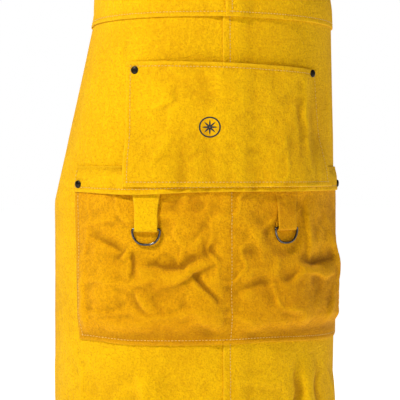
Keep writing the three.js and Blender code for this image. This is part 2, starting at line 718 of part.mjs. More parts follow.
// From the bib's right corner over the shoulder, round the nape and down to the ring.
function makeNeckStrap() {
  const half = STRAP_WIDTH / 2;
  const right = neckLine(1);
  const left = neckLine(-1);
  const { highBar, normal, along } = neckRingPlace();
  const stations = [
    { point: right.foot.point, normal: right.foot.normal, half },
    { point: right.top.point, normal: right.top.normal, half },
  ];
  const strapFace = -LEATHER / 2;
  const leftTop = highBar.clone().addScaledVector(normal, -TURN_RADIUS)
    .addScaledVector(along, TAIL_LENGTH + 8);
  const nodes = [
    [right.shoulder, squareTo(right.along, right.top.normal)],
    [new THREE.Vector3(76, AXIS_Y + 22, -16), new THREE.Vector3(0.45, -0.1, 0.9)],
    [new THREE.Vector3(50, AXIS_Y + 60, -12), new THREE.Vector3(0.7, 0.5, 0.5)],
    [new THREE.Vector3(0, strapFace, -half), new THREE.Vector3(0, 1, 0)],
    [new THREE.Vector3(-50, AXIS_Y + 60, -12), new THREE.Vector3(-0.7, 0.5, 0.5)],
    [new THREE.Vector3(-76, AXIS_Y + 22, -16), new THREE.Vector3(-0.45, -0.1, 0.9)],
    [leftTop, normal],
  ];
  const curve = new THREE.CatmullRomCurve3(nodes.map(([point]) => point), false, 'centripetal');
  const facing = new THREE.CatmullRomCurve3(nodes.map(([, face]) => face), false, 'centripetal');
  const steps = 42;
  for (let k = 0; k <= steps; k += 1) {
    const share = k / steps;
    stations.push({ point: curve.getPoint(share), normal: facing.getPoint(share).normalize(), half });
  }
  stations.push(...doubledBack(highBar, along.clone().negate(), normal, half, TAIL_LENGTH, TURN_RADIUS));
  return ribbon(stations, LEATHER);
}

function makeNeckSlide() {
  const { highBar, along, normal, across } = neckRingPlace();
  const middle = highBar.clone().addScaledVector(along, TAIL_LENGTH * 0.55);
  const place = new THREE.Matrix4().makeBasis(across, along, normal).setPosition(middle);
  return slideShape().applyMatrix4(place);
}

// ---------------------------------------------------------------- waist strap and buckle
const WAIST_STRAP_Z = WAIST_Z + WAIST_STRAP_RISE;
const BUCKLE_Y = AXIS_Y + BACK_DEPTH + LEATHER / 2 + TURN_RADIUS;
const SOCKET_BAR_X = BUCKLE_X - SOCKET_LENGTH + BAR / 2;
const PLUG_BAR_X = BUCKLE_X + FIT_GAP + PLUG_LENGTH - BAR / 2;

// The strap starts on the outside of the bib's edge, comes down to the wearer past it, and ends
// doubled round a buckle bar at the middle of the back.
function waistStrap(side, barX, tail) {
  const half = STRAP_WIDTH / 2;
  const stations = [];
  const settle = 45;
  const reach = SKIRT_HALF - STRAP_LAP;
  for (let u = reach; u < reach + 1000; u += CELL / 2) {
    const past = smooth(SKIRT_HALF + 4, SKIRT_HALF + 4 + settle, u);
    const lift = (1 - past) * 2 * PLY + LEATHER / 2;
    const spot = wrap(side * u, WAIST_STRAP_Z, lift);
    const isBehind = spot.point.y > AXIS_Y;
    if (isBehind && side * spot.point.x < side * barX + tail + 14) {
      break;
    }
    const upper = wrap(side * u, WAIST_STRAP_Z + half, lift).point;
    const lower = wrap(side * u, WAIST_STRAP_Z - half, lift).point;
    const lean = upper.sub(lower).normalize();
    stations.push({ point: spot.point, normal: squareTo(lean, spot.normal), half });
  }
  const bar = new THREE.Vector3(barX, BUCKLE_Y, WAIST_STRAP_Z);
  const along = new THREE.Vector3(-side, 0, 0);
  stations.push(...doubledBack(bar, along, new THREE.Vector3(0, 1, 0), half, tail, TURN_RADIUS));
  return ribbon(stations, LEATHER);
}

function makeWaistSlide() {
  const place = new THREE.Matrix4().makeBasis(
    new THREE.Vector3(0, 0, 1), new THREE.Vector3(1, 0, 0), new THREE.Vector3(0, 1, 0));
  place.setPosition(PLUG_BAR_X + TAIL_LENGTH * 0.55, BUCKLE_Y, WAIST_STRAP_Z);
  return slideShape().applyMatrix4(place);
}

// Buckle halves, with X along the strap, Y outwards and Z up, from the parting line.
function buckleFrame() {
  return new THREE.Matrix4().setPosition(BUCKLE_X, BUCKLE_Y, WAIST_STRAP_Z);
}

function makeSocket() {
  const half = SOCKET_THICK / 2;
  const barLeft = -SOCKET_LENGTH;
  const slotRight = barLeft + BAR + SLOT;
  const cavityLeft = slotRight + BAR;
  const cavityHalf = BUCKLE_HALF - SOCKET_SIDE;
  const windowLeft = -PRONG_LENGTH + BUTTON_BACK - WINDOW_SPARE;
  const windowRight = -PRONG_LENGTH + BUTTON_BACK + BUTTON_LENGTH + WINDOW_SPARE;
  const body = block(slotRight, 0, -half, half, -BUCKLE_HALF, BUCKLE_HALF);
  const cheeks = block(barLeft, slotRight + 1, -BAR / 2, BAR / 2, -BUCKLE_HALF, BUCKLE_HALF);
  const slot = block(barLeft - 1, slotRight, -half, half, -cavityHalf, cavityHalf);
  const frame = cut(join([body, cheeks]), [slot]);
  const bar = roundBar('z', barLeft + BAR / 2, 0, BUCKLE_HALF);
  return cut(join([frame, bar]), [
    block(cavityLeft, 1, -half + SOCKET_WALL, half - SOCKET_WALL, -cavityHalf, cavityHalf),
    block(windowLeft, windowRight, -half + SOCKET_WALL, half - SOCKET_WALL,
      -BUCKLE_HALF - 1, BUCKLE_HALF + 1),
  ]).applyMatrix4(buckleFrame());
}

function makePlug() {
  const half = SOCKET_THICK / 2;
  const cavityHalf = BUCKLE_HALF - SOCKET_SIDE;
  const right = FIT_GAP + PLUG_LENGTH;
  const barRight = right - BAR;
  const bodyRight = barRight - SLOT;
  const guide = PRONG_THICK / 2;
  const frame = cut(join([
    block(FIT_GAP, bodyRight, -half, half, -BUCKLE_HALF, BUCKLE_HALF),
    block(bodyRight - 1, right, -BAR / 2, BAR / 2, -BUCKLE_HALF, BUCKLE_HALF),
  ]), [
    block(bodyRight, right + 1, -half, half, -cavityHalf, cavityHalf),
  ]);
  return join([
    frame,
    roundBar('z', barRight + BAR / 2, 0, BUCKLE_HALF),
    block(-PRONG_LENGTH * 0.6, FIT_GAP + 1, -guide, guide, -GUIDE_HALF, GUIDE_HALF),
  ]).applyMatrix4(buckleFrame());
}

// Springy prong of the plug, with the button that shows in the socket's side window.
function makeProng(side) {
  const inner = PRONG_PIVOT - PRONG_WIDTH / 2;
  const outer = PRONG_PIVOT + PRONG_WIDTH / 2;
  const tip = -PRONG_LENGTH;
  const buttonLeft = tip + BUTTON_BACK;
  const buttonRight = buttonLeft + BUTTON_LENGTH;
  const outline = new THREE.Shape();
  outline.moveTo(-FIT_GAP, inner);
  outline.lineTo(tip, inner + 1);
  outline.lineTo(tip, outer - 1);
  outline.lineTo(buttonLeft, outer);
  outline.lineTo(buttonLeft, BUCKLE_HALF + BUTTON_PROUD);
  outline.lineTo(buttonRight, BUCKLE_HALF - SOCKET_SIDE + PRONG_CATCH);
  outline.lineTo(buttonRight, outer);
  outline.lineTo(-FIT_GAP, outer);
  outline.closePath();
  const prong = new THREE.ExtrudeGeometry(outline, { depth: PRONG_THICK, bevelEnabled: false });
  prong.translate(0, 0, -PRONG_THICK / 2);
  prong.rotateX(side > 0 ? Math.PI / 2 : -Math.PI / 2);
  return prong.applyMatrix4(buckleFrame());
}

// ---------------------------------------------------------------- rivet places
// Each rivet has its place, the lift of the leather under its cap, and the plies it goes through.
function rivetPlaces() {
  const bellyInset = RIVET_INSET + 3;
  const flapRivetZ = FLAP_BOTTOM + RIVET_INSET;
  const flapLift = (u) => PLY * (1 + lapRidge(u)) + flapRise(u, flapRivetZ) + LEATHER;
  const pocketLift = (u, z) => PLY * (1 + lapRidge(u)) + bellyRoom(u, z) + LEATHER;
  const strapSide = SKIRT_HALF - STRAP_LAP / 2;
  const neckU = neckLine(1).u;
  const places = [];
  const bellyZ = BELLY_TOP - RIVET_INSET;
  for (const [name, u] of [['left', BELLY_LEFT + bellyInset], ['right', BELLY_RIGHT - bellyInset]]) {
    const skirt = u < 0 ? 'skirt_left' : 'skirt_right';
    places.push({ name: `belly_${name}`, u, z: bellyZ, lift: pocketLift(u, bellyZ), inner: 0,
      plies: ['belly_pocket', skirt] });
  }
  const flapEnds = [['left', FLAP_LEFT + RIVET_INSET], ['right', FLAP_LEFT + FLAP_WIDTH - RIVET_INSET]];
  for (const [name, u] of flapEnds) {
    const skirt = u < 0 ? 'skirt_left' : 'skirt_right';
    places.push({ name: `flap_${name}`, u, z: flapRivetZ, lift: flapLift(u), inner: 0,
      plies: ['pocket_flap', 'lower_pocket', skirt] });
  }
  const waistLift = 2 * PLY + LEATHER;
  for (const [name, side] of [['left', -1], ['right', 1]]) {
    places.push({ name: `waist_${name}`, u: side * strapSide, z: WAIST_STRAP_Z, lift: waistLift,
      inner: PLY * waistLap(WAIST_STRAP_Z), plies: [`waist_strap_${name}`, `bib_${name}`] });
    places.push({ name: `neck_${name}`, u: side * neckU, z: BIB_TOP_Z - STRAP_LAP / 2, lift: PLY + LEATHER,
      inner: 0, plies: [name === 'left' ? 'neck_tab' : 'neck_strap', `bib_${name}`] });
  }
  return places;
}

// ---------------------------------------------------------------- assembly
function turnedSolid(shape, frame) {
  return facingOut(mergeVertices(bareShape(shape))).applyMatrix4(frame);
}

function buildApron() {
  const skirt = makeSkirt();
  const bib = makeBib();
  const leather = {
    skirt_left: skirt.left,
    skirt_right: skirt.right,
    bib_left: bib.left,
    bib_right: bib.right,
    lower_pocket: makeLowerPocket(),
    pocket_flap: makeFlap(),
    belly_pocket: makeBellyPocket(),
    tool_tab_left: makeTab(TAB_LEFT_U),
    tool_tab_right: makeTab(TAB_RIGHT_U),
    neck_tab: makeNeckTab(),
    neck_strap: makeNeckStrap(),
    waist_strap_left: waistStrap(-1, SOCKET_BAR_X, STRAP_LAP),
    waist_strap_right: waistStrap(1, PLUG_BAR_X, TAIL_LENGTH),
  };
  const holes = {};
  for (const { name, u, z, lift, inner, plies } of rivetPlaces()) {
    const frame = frameOn(u, z, lift + CAP_SEAT);
    const depth = lift + CAP_SEAT - inner;
    for (const ply of plies) {
      holes[ply] = holes[ply] ?? [];
      holes[ply].push(punchShape(depth).applyMatrix4(frame));
    }
    addPiece(`rivet_${name}`, turnedSolid(rivetShape(depth), frame), DARK_STEEL);
    addPiece(`burr_${name}`, turnedSolid(burrShape(depth), frame), DARK_STEEL);
  }
  for (const [name, geometry] of Object.entries(leather)) {
    const finish = name === 'lower_pocket' ? ORANGE_LEATHER : YELLOW_LEATHER;
    const whole = facingOut(geometry);
    addPiece(name, holes[name] ? cut(whole, holes[name]) : whole, finish);
  }
  addPiece('d_ring_left', makeRing(TAB_LEFT_U), STEEL);
  addPiece('d_ring_right', makeRing(TAB_RIGHT_U), STEEL);
  addPiece('neck_ring', makeNeckRing(), STEEL);
  addPiece('neck_slide', makeNeckSlide(), STEEL);
  addPiece('waist_slide', makeWaistSlide(), STEEL);
  addPiece('buckle_socket', makeSocket(), BLACK_PLASTIC);
  addPiece('buckle_plug', makePlug(), BLACK_PLASTIC);
  addPiece('buckle_prong_upper', makeProng(1), BLACK_PLASTIC);
  addPiece('buckle_prong_lower', makeProng(-1), BLACK_PLASTIC);
}

function bareShape(geometry) {
  geometry.deleteAttribute('normal');
  geometry.deleteAttribute('uv');
  return geometry;
}

buildApron();

export default apron;
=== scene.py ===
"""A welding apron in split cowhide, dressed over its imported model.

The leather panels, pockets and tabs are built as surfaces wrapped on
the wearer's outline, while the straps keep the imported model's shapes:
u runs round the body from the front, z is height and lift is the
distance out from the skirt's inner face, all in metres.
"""

import json  # noqa: E402
import logging  # noqa: E402
import math  # noqa: E402
from dataclasses import dataclass, field  # noqa: E402
from collections.abc import Callable  # noqa: E402
from enum import Enum  # noqa: E402

import bmesh  # noqa: E402
import bpy  # noqa: E402
import numpy as np  # noqa: E402
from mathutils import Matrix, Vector  # noqa: E402


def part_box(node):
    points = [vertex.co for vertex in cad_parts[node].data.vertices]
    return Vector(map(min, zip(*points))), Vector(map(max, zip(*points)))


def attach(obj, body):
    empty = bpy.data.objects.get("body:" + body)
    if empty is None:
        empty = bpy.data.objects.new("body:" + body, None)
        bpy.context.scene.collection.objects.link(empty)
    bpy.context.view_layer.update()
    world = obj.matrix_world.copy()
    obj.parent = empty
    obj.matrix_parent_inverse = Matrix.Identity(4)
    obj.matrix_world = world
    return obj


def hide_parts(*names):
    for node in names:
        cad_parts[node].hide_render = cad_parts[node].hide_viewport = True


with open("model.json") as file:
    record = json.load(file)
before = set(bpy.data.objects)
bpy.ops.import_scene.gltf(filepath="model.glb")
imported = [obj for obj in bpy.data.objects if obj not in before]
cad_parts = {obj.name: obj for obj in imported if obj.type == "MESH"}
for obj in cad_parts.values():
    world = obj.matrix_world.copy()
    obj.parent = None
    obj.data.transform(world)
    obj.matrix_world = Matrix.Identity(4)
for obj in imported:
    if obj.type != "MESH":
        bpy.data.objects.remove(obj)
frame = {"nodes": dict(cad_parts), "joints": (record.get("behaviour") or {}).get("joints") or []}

logging.basicConfig(level=logging.INFO, format="%(message)s")
log = logging.getLogger("apron")

MM = 0.001
PLY = 2.3 * MM
SHEET = 2.0 * MM
FRONT_Y = -75 * MM
WAIST_Z = round(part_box("bib_left")[0].z, 5)
HEM_Z = round(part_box("skirt_left")[0].z, 5)
SKIRT_TOP_Z = round(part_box("skirt_left")[1].z, 5)
BIB_TOP_Z = round(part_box("bib_left")[1].z, 5)
SKIRT_HALF = 318 * MM
BIB_TOP_HALF = 140 * MM
# A panel's inner face lies this far inside what it is sewn to, so that no light gets between.
SINK = 0.1 * MM

Lift = Callable[[np.ndarray, np.ndarray], np.ndarray]
Reshape = Callable[[np.ndarray, np.ndarray], tuple[np.ndarray, np.ndarray]]


class Split(Enum):
    """The two dye lots of cowhide that the apron is cut from."""

    YELLOW = "yellow_leather"
    ORANGE = "orange_leather"


class Held(Enum):
    """How a leather piece is carried."""

    HUNG = "hung"
    FOLDED = "folded"


def smooth(low: float, high: float, v: np.ndarray) -> np.ndarray:
    """Eases from 0 at low to 1 at high.

    Args:
        low: value where the ease starts.
        high: value where it ends.
        v: values to ease.

    Returns:
        The eased values, from 0 to 1.
    """
    t = np.clip((np.asarray(v, float) - low) / (high - low), 0.0, 1.0)
    return t * t * (3 - 2 * t)


def srgb(code: str) -> tuple[float, float, float, float]:
    """Turns an sRGB hex code into the linear colour that a shader takes.

    Args:
        code: six hex digits after a hash sign.

    Returns:
        Linear red, green, blue and full opacity.
    """
    parts = [int(code[i : i + 2], 16) / 255 for i in (1, 3, 5)]
    linear = [c / 12.92 if c <= 0.04045 else ((c + 0.055) / 1.055) ** 2.4 for c in parts]
    return (linear[0], linear[1], linear[2], 1.0)


def value_noise(x: np.ndarray, y: np.ndarray, size: float, seed: int) -> np.ndarray:
    """Smooth seeded noise on a plane, from -1 to 1.

    Args:
        x: first coordinate in metres.
        y: second coordinate in metres.
        size: distance between the noise's own values, in metres.
        seed: number that picks the pattern.

    Returns:
        The noise at each point.
    """
    cells = 128
    table = np.random.default_rng(seed).uniform(-1, 1, (cells, cells))
    gx, gy = np.asarray(x) / size, np.asarray(y) / size
    ix, iy = np.floor(gx).astype(int), np.floor(gy).astype(int)
    fx, fy = gx - ix, gy - iy
    fx, fy = fx * fx * (3 - 2 * fx), fy * fy * (3 - 2 * fy)
    a = table[ix % cells, iy % cells]
    b = table[(ix + 1) % cells, iy % cells]
    c = table[ix % cells, (iy + 1) % cells]
    d = table[(ix + 1) % cells, (iy + 1) % cells]
    return (a * (1 - fx) + b * fx) * (1 - fy) + (c * (1 - fx) + d * fx) * fy


def rumple(x: np.ndarray, y: np.ndarray, size: float, seed: int) -> np.ndarray:
    """A net of soft wandering wrinkles on a plane, from 0 to 1.

    It is high along the lines where smooth noise changes sign.

    Args:
        x: first coordinate in metres.
        y: second coordinate in metres.
        size: rough distance between wrinkles, in metres.
        seed: number that picks the pattern.

    Returns:
        The wrinkles' height at each point.
    """
    bent = x + value_noise(x, y, size * 0.5, seed + 1) * size * 0.25
    return np.clip(1 - 2.8 * np.abs(value_noise(bent, y, size, seed)), 0, 1) ** 1.6


def segment_distance(
    u: np.ndarray, z: np.ndarray, start: tuple[float, float], end: tuple[float, float]
) -> tuple[np.ndarray, np.ndarray]:
    """Distance of points from a line segment, and how far along it they are.

    Args:
        u: first coordinate of the points.
        z: second coordinate of the points.
        start: the segment's first end.
        end: its second end.

    Returns:
        The distance, negative on the right of the segment's direction, and
        the place along it from 0 to 1.
    """
    du, dz = end[0] - start[0], end[1] - start[1]
    along = np.clip(((u - start[0]) * du + (z - start[1]) * dz) / (du * du + dz * dz), 0, 1)
    side = np.sign((z - start[1]) * du - (u - start[0]) * dz)
    return side * np.hypot(u - start[0] - along * du, z - start[1] - along * dz), along


BROAD_SIDE = 2.1
STEEP_SIDE = 0.8


@dataclass(frozen=True)
class Crease:
    """A soft fold in the leather: a ridge where depth is positive, a valley where not.

    The height across it is a bell curve that is broad on one side and steep
    on the other, and it fades to nothing at both ends of its line.
    """

    start: tuple[float, float]
    end: tuple[float, float]
    width: float
    depth: float

    def height(self, u: np.ndarray, z: np.ndarray) -> np.ndarray:
        """Gives the fold's height at each point.

        Args:
            u: place round the body, in metres.
            z: height, in metres.

        Returns:
            The height to add to the lift.
        """
        away, along = segment_distance(u, z, self.start, self.end)
        taper = np.sin(np.pi * np.clip(along, 0.001, 0.999)) ** 0.7
        reach = self.width * np.where(away > 0, BROAD_SIDE, STEEP_SIDE)
        return self.depth * taper * np.exp(-((away / reach) ** 2))


def fold(u0: float, z0: float, u1: float, z1: float, width: float, depth: float) -> Crease:
    """Makes a crease from millimetres, with z measured down from the waist seam.

    Args:
        u0: first end round the body, in mm.
        z0: its height, in mm.
        u1: second end round the body, in mm.
        z1: its height, in mm.
        width: the crease's width, in mm.
        depth: its height, in mm, negative for a valley.

    Returns:
        The crease, in metres.
    """
    start = (u0 * MM, WAIST_Z + z0 * MM)
    end = (u1 * MM, WAIST_Z + z1 * MM)
    return Crease(start, end, width * MM, depth * MM)


@dataclass
class WearerForm:
    """The outline of the wearer's body that the apron wraps.

    Each level is a front half ellipse with quarter ellipses and a flat back;
    the distance round it from the front is tabulated, so any (u, z, lift)
    turns into a place in space.
    """

    axis_y: float = FRONT_Y
    hip_half: float = 190 * MM
    waist_half: float = 158 * MM
    front_depth: float = 130 * MM
    chest_depth: float = 118 * MM
    back_depth: float = 100 * MM
    back_flat: float = 110 * MM
    waist_shift: float = 25 * MM
    hip_drop: float = 250 * MM
    levels: int = 220
    columns: int = 640
    reach: float = 420 * MM
    points: np.ndarray = field(init=False)
    normals: np.ndarray = field(init=False)
    z_low: float = HEM_Z - 0.02
    z_high: float = BIB_TOP_Z + 0.03

    def __post_init__(self) -> None:
        """Fills the table of places and outward normals."""
        zs = np.linspace(self.z_low, self.z_high, self.levels)
        us = np.linspace(-self.reach, self.reach, self.columns)
        self.points = np.zeros((self.levels, self.columns, 2))
        self.normals = np.zeros((self.levels, self.columns, 2))
        for row, z in enumerate(zs):
            outline, normal, arc = self.outline(float(z))
            for axis in (0, 1):
                self.points[row, :, axis] = np.interp(us, arc, outline[:, axis])
                self.normals[row, :, axis] = np.interp(us, arc, normal[:, axis])

    def outline(self, z: float) -> tuple[np.ndarray, np.ndarray, np.ndarray]:
        """Traces the level's curve from the left back round the front to the right back.

        Args:
            z: the level's height.

        Returns:
            Places, outward normals and the distance round from the front.
        """
        hips = min(max((WAIST_Z + 18 * MM - z) / self.hip_drop, 0.0), 1.0)
        chest = float(smooth(WAIST_Z, BIB_TOP_Z, np.array(z)))
        half = self.waist_half + (self.hip_half - self.waist_half) * hips
        shift = self.waist_shift * (1 - hips) * (1 - chest)
        depth = self.front_depth + (self.chest_depth - self.front_depth) * chest
        t = np.linspace(-np.pi / 2, np.pi / 2, 1201)
        front = np.stack([half * np.sin(t) + shift, -depth * np.cos(t)], 1)
        front_n = np.stack([depth * np.sin(t), -half * np.cos(t)], 1)
        q = np.linspace(0, np.pi / 2, 301)[1:]
        corner = half - self.back_flat
        right = np.stack([self.back_flat + corner * np.cos(q) + shift, self.back_depth * np.sin(q)], 1)
        right_n = np.stack([self.back_depth * np.cos(q), corner * np.sin(q)], 1)
        left = np.stack([2 * shift - right[::-1, 0], right[::-1, 1]], 1)
        left_n = np.stack([-right_n[::-1, 0], right_n[::-1, 1]], 1)
        places = np.concatenate([left, front, right])
        normals = np.concatenate([left_n, front_n, right_n])
        normals = normals / np.linalg.norm(normals, axis=1)[:, None]
        steps = np.hypot(*np.diff(places, axis=0).T)
        arc = np.concatenate([[0.0], np.cumsum(steps)])
        front_start, front_end = len(left), len(left) + len(front)
        middle = np.interp(0.0, places[front_start:front_end, 0], arc[front_start:front_end])
        places[:, 1] += self.axis_y
        return places, normals, arc - middle

    def place(self, u: np.ndarray, z: np.ndarray, lift: np.ndarray) -> np.ndarray:
        """Turns (u, z, lift) into places in space.

        Args:
            u: distance round the body from the front.
            z: height.
            lift: distance out from the body.

        Returns:
            An array of x, y, z, with the inputs' shape in front.
        """
        rows = (np.clip(z, self.z_low, self.z_high) - self.z_low) / (self.z_high - self.z_low)
        rows = rows * (self.levels - 1)
        cols = (np.clip(u, -self.reach, self.reach) + self.reach) / (2 * self.reach)
        cols = cols * (self.columns - 1)
        r0 = np.clip(np.floor(rows).astype(int), 0, self.levels - 2)
        c0 = np.clip(np.floor(cols).astype(int), 0, self.columns - 2)
        fr, fc = (rows - r0)[..., None], (cols - c0)[..., None]

        def blend(table: np.ndarray) -> np.ndarray:
            """Reads the table between its four nearest entries.

            Args:
                table: the values at the levels and columns.

            Returns:
                The values at the points asked for.
            """
            low = table[r0, c0] * (1 - fc) + table[r0, c0 + 1] * fc
            high = table[r0 + 1, c0] * (1 - fc) + table[r0 + 1, c0 + 1] * fc
            return low * (1 - fr) + high * fr

        flat = blend(self.points) + blend(self.normals) * np.asarray(lift)[..., None]
        return np.concatenate([flat, np.asarray(z)[..., None]], axis=-1)

    def out(self, u: float, z: float) -> np.ndarray:
        """Gives the outward direction at one place on the body.

        Args:
            u: places round the body, in metres.
            z: heights, in metres.

        Returns:
            The outward unit vector.
        """
        step = 1 * MM
        lifts = np.array([0.0, step])
        pair = self.place(np.full(2, u), np.full(2, z), lifts)
        way = pair[1] - pair[0]
        return way / np.linalg.norm(way)


FORM = WearerForm()


PUCKER = 0.45 * MM
SEAM_INSET = 6 * MM
SEAM_HALF = 1.3 * MM
RIM_REACH = 1.3 * MM
EDGE_STEPS = np.array([0.0, 0.12, 0.45, 1.0]) * MM
SEAM_STEPS = np.array([-1.6, -0.8, 0.0, 0.8, 1.6]) * MM
TAB_PLACES = (-99 * MM, 81 * MM)
BAR_Z = round(frame["joints"][0]["pos_m"][2], 5)
TAB_RISE = 5.1 * MM
TAB_LEAN = 4.1 * MM
RING_REACH = 21.5 * MM
BAR_LIFT = 8.7 * MM
TAB_HALF = 15.6 * MM
FLAP_TOP = round(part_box("pocket_flap")[1].z, 5)
FLAP_LOW = round(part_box("pocket_flap")[0].z, 5)
LOWER_TOP = round(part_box("lower_pocket")[1].z, 5)
LOWER_BOTTOM = round(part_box("lower_pocket")[0].z, 5)
BELLY_TOP = round(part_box("belly_pocket")[1].z, 5)
BELLY_LOW = round(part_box("belly_pocket")[0].z, 5)
BELLY_LEFT = -126 * MM
BELLY_RIGHT = 140 * MM
BELLY_RAMP = -628 * MM
BELLY_WIDTH = 266 * MM
POCKET_LEFT = -200 * MM
POCKET_RIGHT = 216 * MM
CENTRE_SEAM = 5 * MM
LEFT_PANEL_EDGE = 13.5 * MM
RIGHT_LAP_EASE = (14.5 * MM, 36 * MM)
RIDGE_EASE = (-28 * MM, -6.5 * MM)
WAIST_LAP_EASE = (-470 * MM, -436 * MM)
BIB_STILL_EASE = (-462 * MM, -410 * MM)


def right_lap(u: np.ndarray) -> np.ndarray:
    """Share by which the right panel is lifted over the left panel's edge."""
    return 1 - smooth(*RIGHT_LAP_EASE, u)


def lap_ridge(u: np.ndarray) -> np.ndarray:
    """Height of the ridge that the centre lap makes under the pockets, in plies."""
    return smooth(*RIDGE_EASE, u) * right_lap(u)


def waist_lap(z: np.ndarray) -> np.ndarray:
    """Share by which the bib is lifted over the skirt's top edge."""
    return 1 - smooth(*WAIST_LAP_EASE, z)


def tab_zone(u: np.ndarray) -> np.ndarray:
    """1 where a tool tab is sewn in under the flap, easing to 0 beside it."""
    near = np.minimum(np.abs(u - TAB_PLACES[0]), np.abs(u - TAB_PLACES[1]))
    return 1 - smooth(TAB_HALF + 4 * MM, TAB_HALF + 36 * MM, near)


SKIRT_FOLDS = (
    fold(-262, -392, -196, -418, 12, 2.2),
    fold(-112, -425, -92, -600, 9, 2.6),
    fold(-70, -440, -60, -700, 20, -2.5),
    fold(117, -430, 138, -640, 8, 3.6),
    fold(101, -412, 108, -600, 7, -3.4),
    fold(140, -416, 160, -640, 8, -3.4),
    fold(20, -470, 10, -720, 26, 3.0),
    fold(-215, -470, -225, -740, 24, 4.0),
    fold(215, -470, 225, -740, 24, 4.0),
    fold(-165, -470, -160, -740, 22, -2.0),
)
BIB_FOLDS = (
    fold(19, 24, 18, 290, 2.2, -0.9),
    fold(-60, 60, -95, 270, 22, 2.2),
    fold(70, 60, 95, 270, 22, 2.0),
)
SKIRT_TOP_FOLDS = (
    fold(-130, -4, -131, -60, 3, -0.8),
    fold(175, -40, 190, -200, 12, 1.8),
    fold(-185, -30, -205, -200, 14, 1.6),
)
BELLY_FOLDS = (
    fold(-90, -116, -62, -105, 3.5, 1.3),
    fold(110, -66, 117, -205, 3.2, 1.6),
    fold(100, -70, 105, -200, 6, -1.2),
    fold(-112, -75, -118, -200, 6, 1.0),
    fold(-30, -84, 60, -90, 20, 1.0),
    fold(-95, -190, -70, -150, 6, 0.9),
    fold(58, -190, 84, -140, 8, 0.9),
)
LOWER_FOLDS = (
    fold(-194, -262, -136, -252, 4, 2.2),
    fold(-176, -272, -130, -288, 4.5, -1.8),
    fold(-122, -284, -131, -304, 2.6, 2.0),
    fold(-117, -286, -114, -330, 3, -2.2),
    fold(-112, -304, -36, -309, 7, -3.2),
    fold(-88, -338, -10, -302, 5, 2.8),
    fold(-46, -316, -10, -356, 3.2, -2.8),
    fold(8, -338, 69, -331, 6, -2.2),
    fold(69, -331, 104, -316, 6, -2.0),
    fold(98, -310, 178, -303, 6, -3.0),
    fold(104, -322, 172, -330, 5, 2.0),
    fold(114, -228, 124, -310, 5, 2.2),
    fold(-110, -338, -92, -372, 4, 1.8),
    fold(-150, -300, -160, -390, 9, 2.0),
    fold(150, -235, 190, -330, 8, 2.0),
    fold(30, -260, 45, -310, 7, 1.8),
    fold(-20, -262, -52, -290, 5, 1.6),
    fold(60, -345, 120, -390, 12, 2.4),
    fold(-60, -360, 0, -395, 10, 1.8),
    fold(175, -340, 150, -395, 6, 1.8),
)


def folds_height(folds: tuple[Crease, ...], u: np.ndarray, z: np.ndarray) -> np.ndarray:
    """Adds up the heights of several folds at each point.

    Args:
        folds: the creases to add up.
        u: places round the body, in metres.
        z: heights, in metres.

    Returns:
        The folds' height at each point.
    """
    bent_u = u + value_noise(u, z, 21 * MM, 91) * 4.0 * MM
    bent_z = z + value_noise(u, z, 21 * MM, 92) * 4.0 * MM
    return sum((crease.height(bent_u, bent_z) for crease in folds), np.zeros_like(u))


def ring_hush(u: np.ndarray, z: np.ndarray) -> np.ndarray:
    """0 round the rings, which hang still, easing to 1 away from them.

    Args:
        u: places round the body, in metres.
        z: heights, in metres.

    Returns:
        The share at each point.
    """
    near = np.ones_like(u)
    for place in TAB_PLACES:
        away = np.hypot(u - place, (z - BAR_Z + 10 * MM) * 0.8)
        near = near * smooth(15 * MM, 29 * MM, away)
    return near


def drape(u: np.ndarray, z: np.ndarray) -> np.ndarray:
    """Slack of the whole hanging front, shared by the skirt and its pockets.

    It is broad seeded noise and long folds below the pocket, still round the
    rings, the waist seam and the pocket's lower seam.

    Args:
        u: places round the body, in metres.
        z: heights, in metres.

    Returns:
        The lift of the hanging leather at each point.
    """
    low = 1 - smooth(LOWER_BOTTOM - 60 * MM, LOWER_BOTTOM + 4 * MM, z)
    broad = value_noise(u, z, 90 * MM, 3) * 1.6 * MM + value_noise(u, z, 34 * MM, 4) * 1.1 * MM
    broad = broad + value_noise(u, z, 13 * MM, 5) * 0.35 * MM + rumple(u * 1.6, z, 90 * MM, 71) * 2.2 * MM
    calm = smooth(0.0, 30 * MM, WAIST_Z - 10 * MM - z)
    upper = folds_height(SKIRT_TOP_FOLDS, u, z) * smooth(FLAP_TOP, FLAP_TOP + 40 * MM, z)
    folds = folds_height(SKIRT_FOLDS, u, z)
    return (broad * 0.8 + folds * 1.5) * calm * (0.12 + 0.88 * low) + upper * calm


def skirt_left_lift(u: np.ndarray, z: np.ndarray) -> np.ndarray:
    """Inner face of the left skirt panel."""
    return drape(u, z)


def skirt_right_lift(u: np.ndarray, z: np.ndarray) -> np.ndarray:
    """Inner face of the right skirt panel, which laps over the left one."""
    return skirt_left_lift(u, z) + PLY * right_lap(u)


def bib_slack(u: np.ndarray, z: np.ndarray) -> np.ndarray:
    """Soft unevenness of the bib above its seam, always outward.

    Args:
        u: places round the body, in metres.
        z: heights, in metres.

    Returns:
        The lift at each point.
    """
    high = smooth(*BIB_STILL_EASE, z)
    waves = value_noise(u, z, 70 * MM, 8) * 1.3 * MM + value_noise(u, z, 22 * MM, 9) * 0.35 * MM
    return (waves + folds_height(BIB_FOLDS, u, z)) * high


def bib_left_lift(u: np.ndarray, z: np.ndarray) -> np.ndarray:
    """Inner face of the bib's left panel, lapped over the skirt at the waist."""
    return bib_slack(u, z) + PLY * waist_lap(z) * (1 + lap_ridge(u))


def bib_right_lift(u: np.ndarray, z: np.ndarray) -> np.ndarray:
    """Inner face of the bib's right panel, lapped over the left one."""
    return bib_slack(u, z) + PLY * (right_lap(u) + waist_lap(z) * (1 + right_lap(u)))


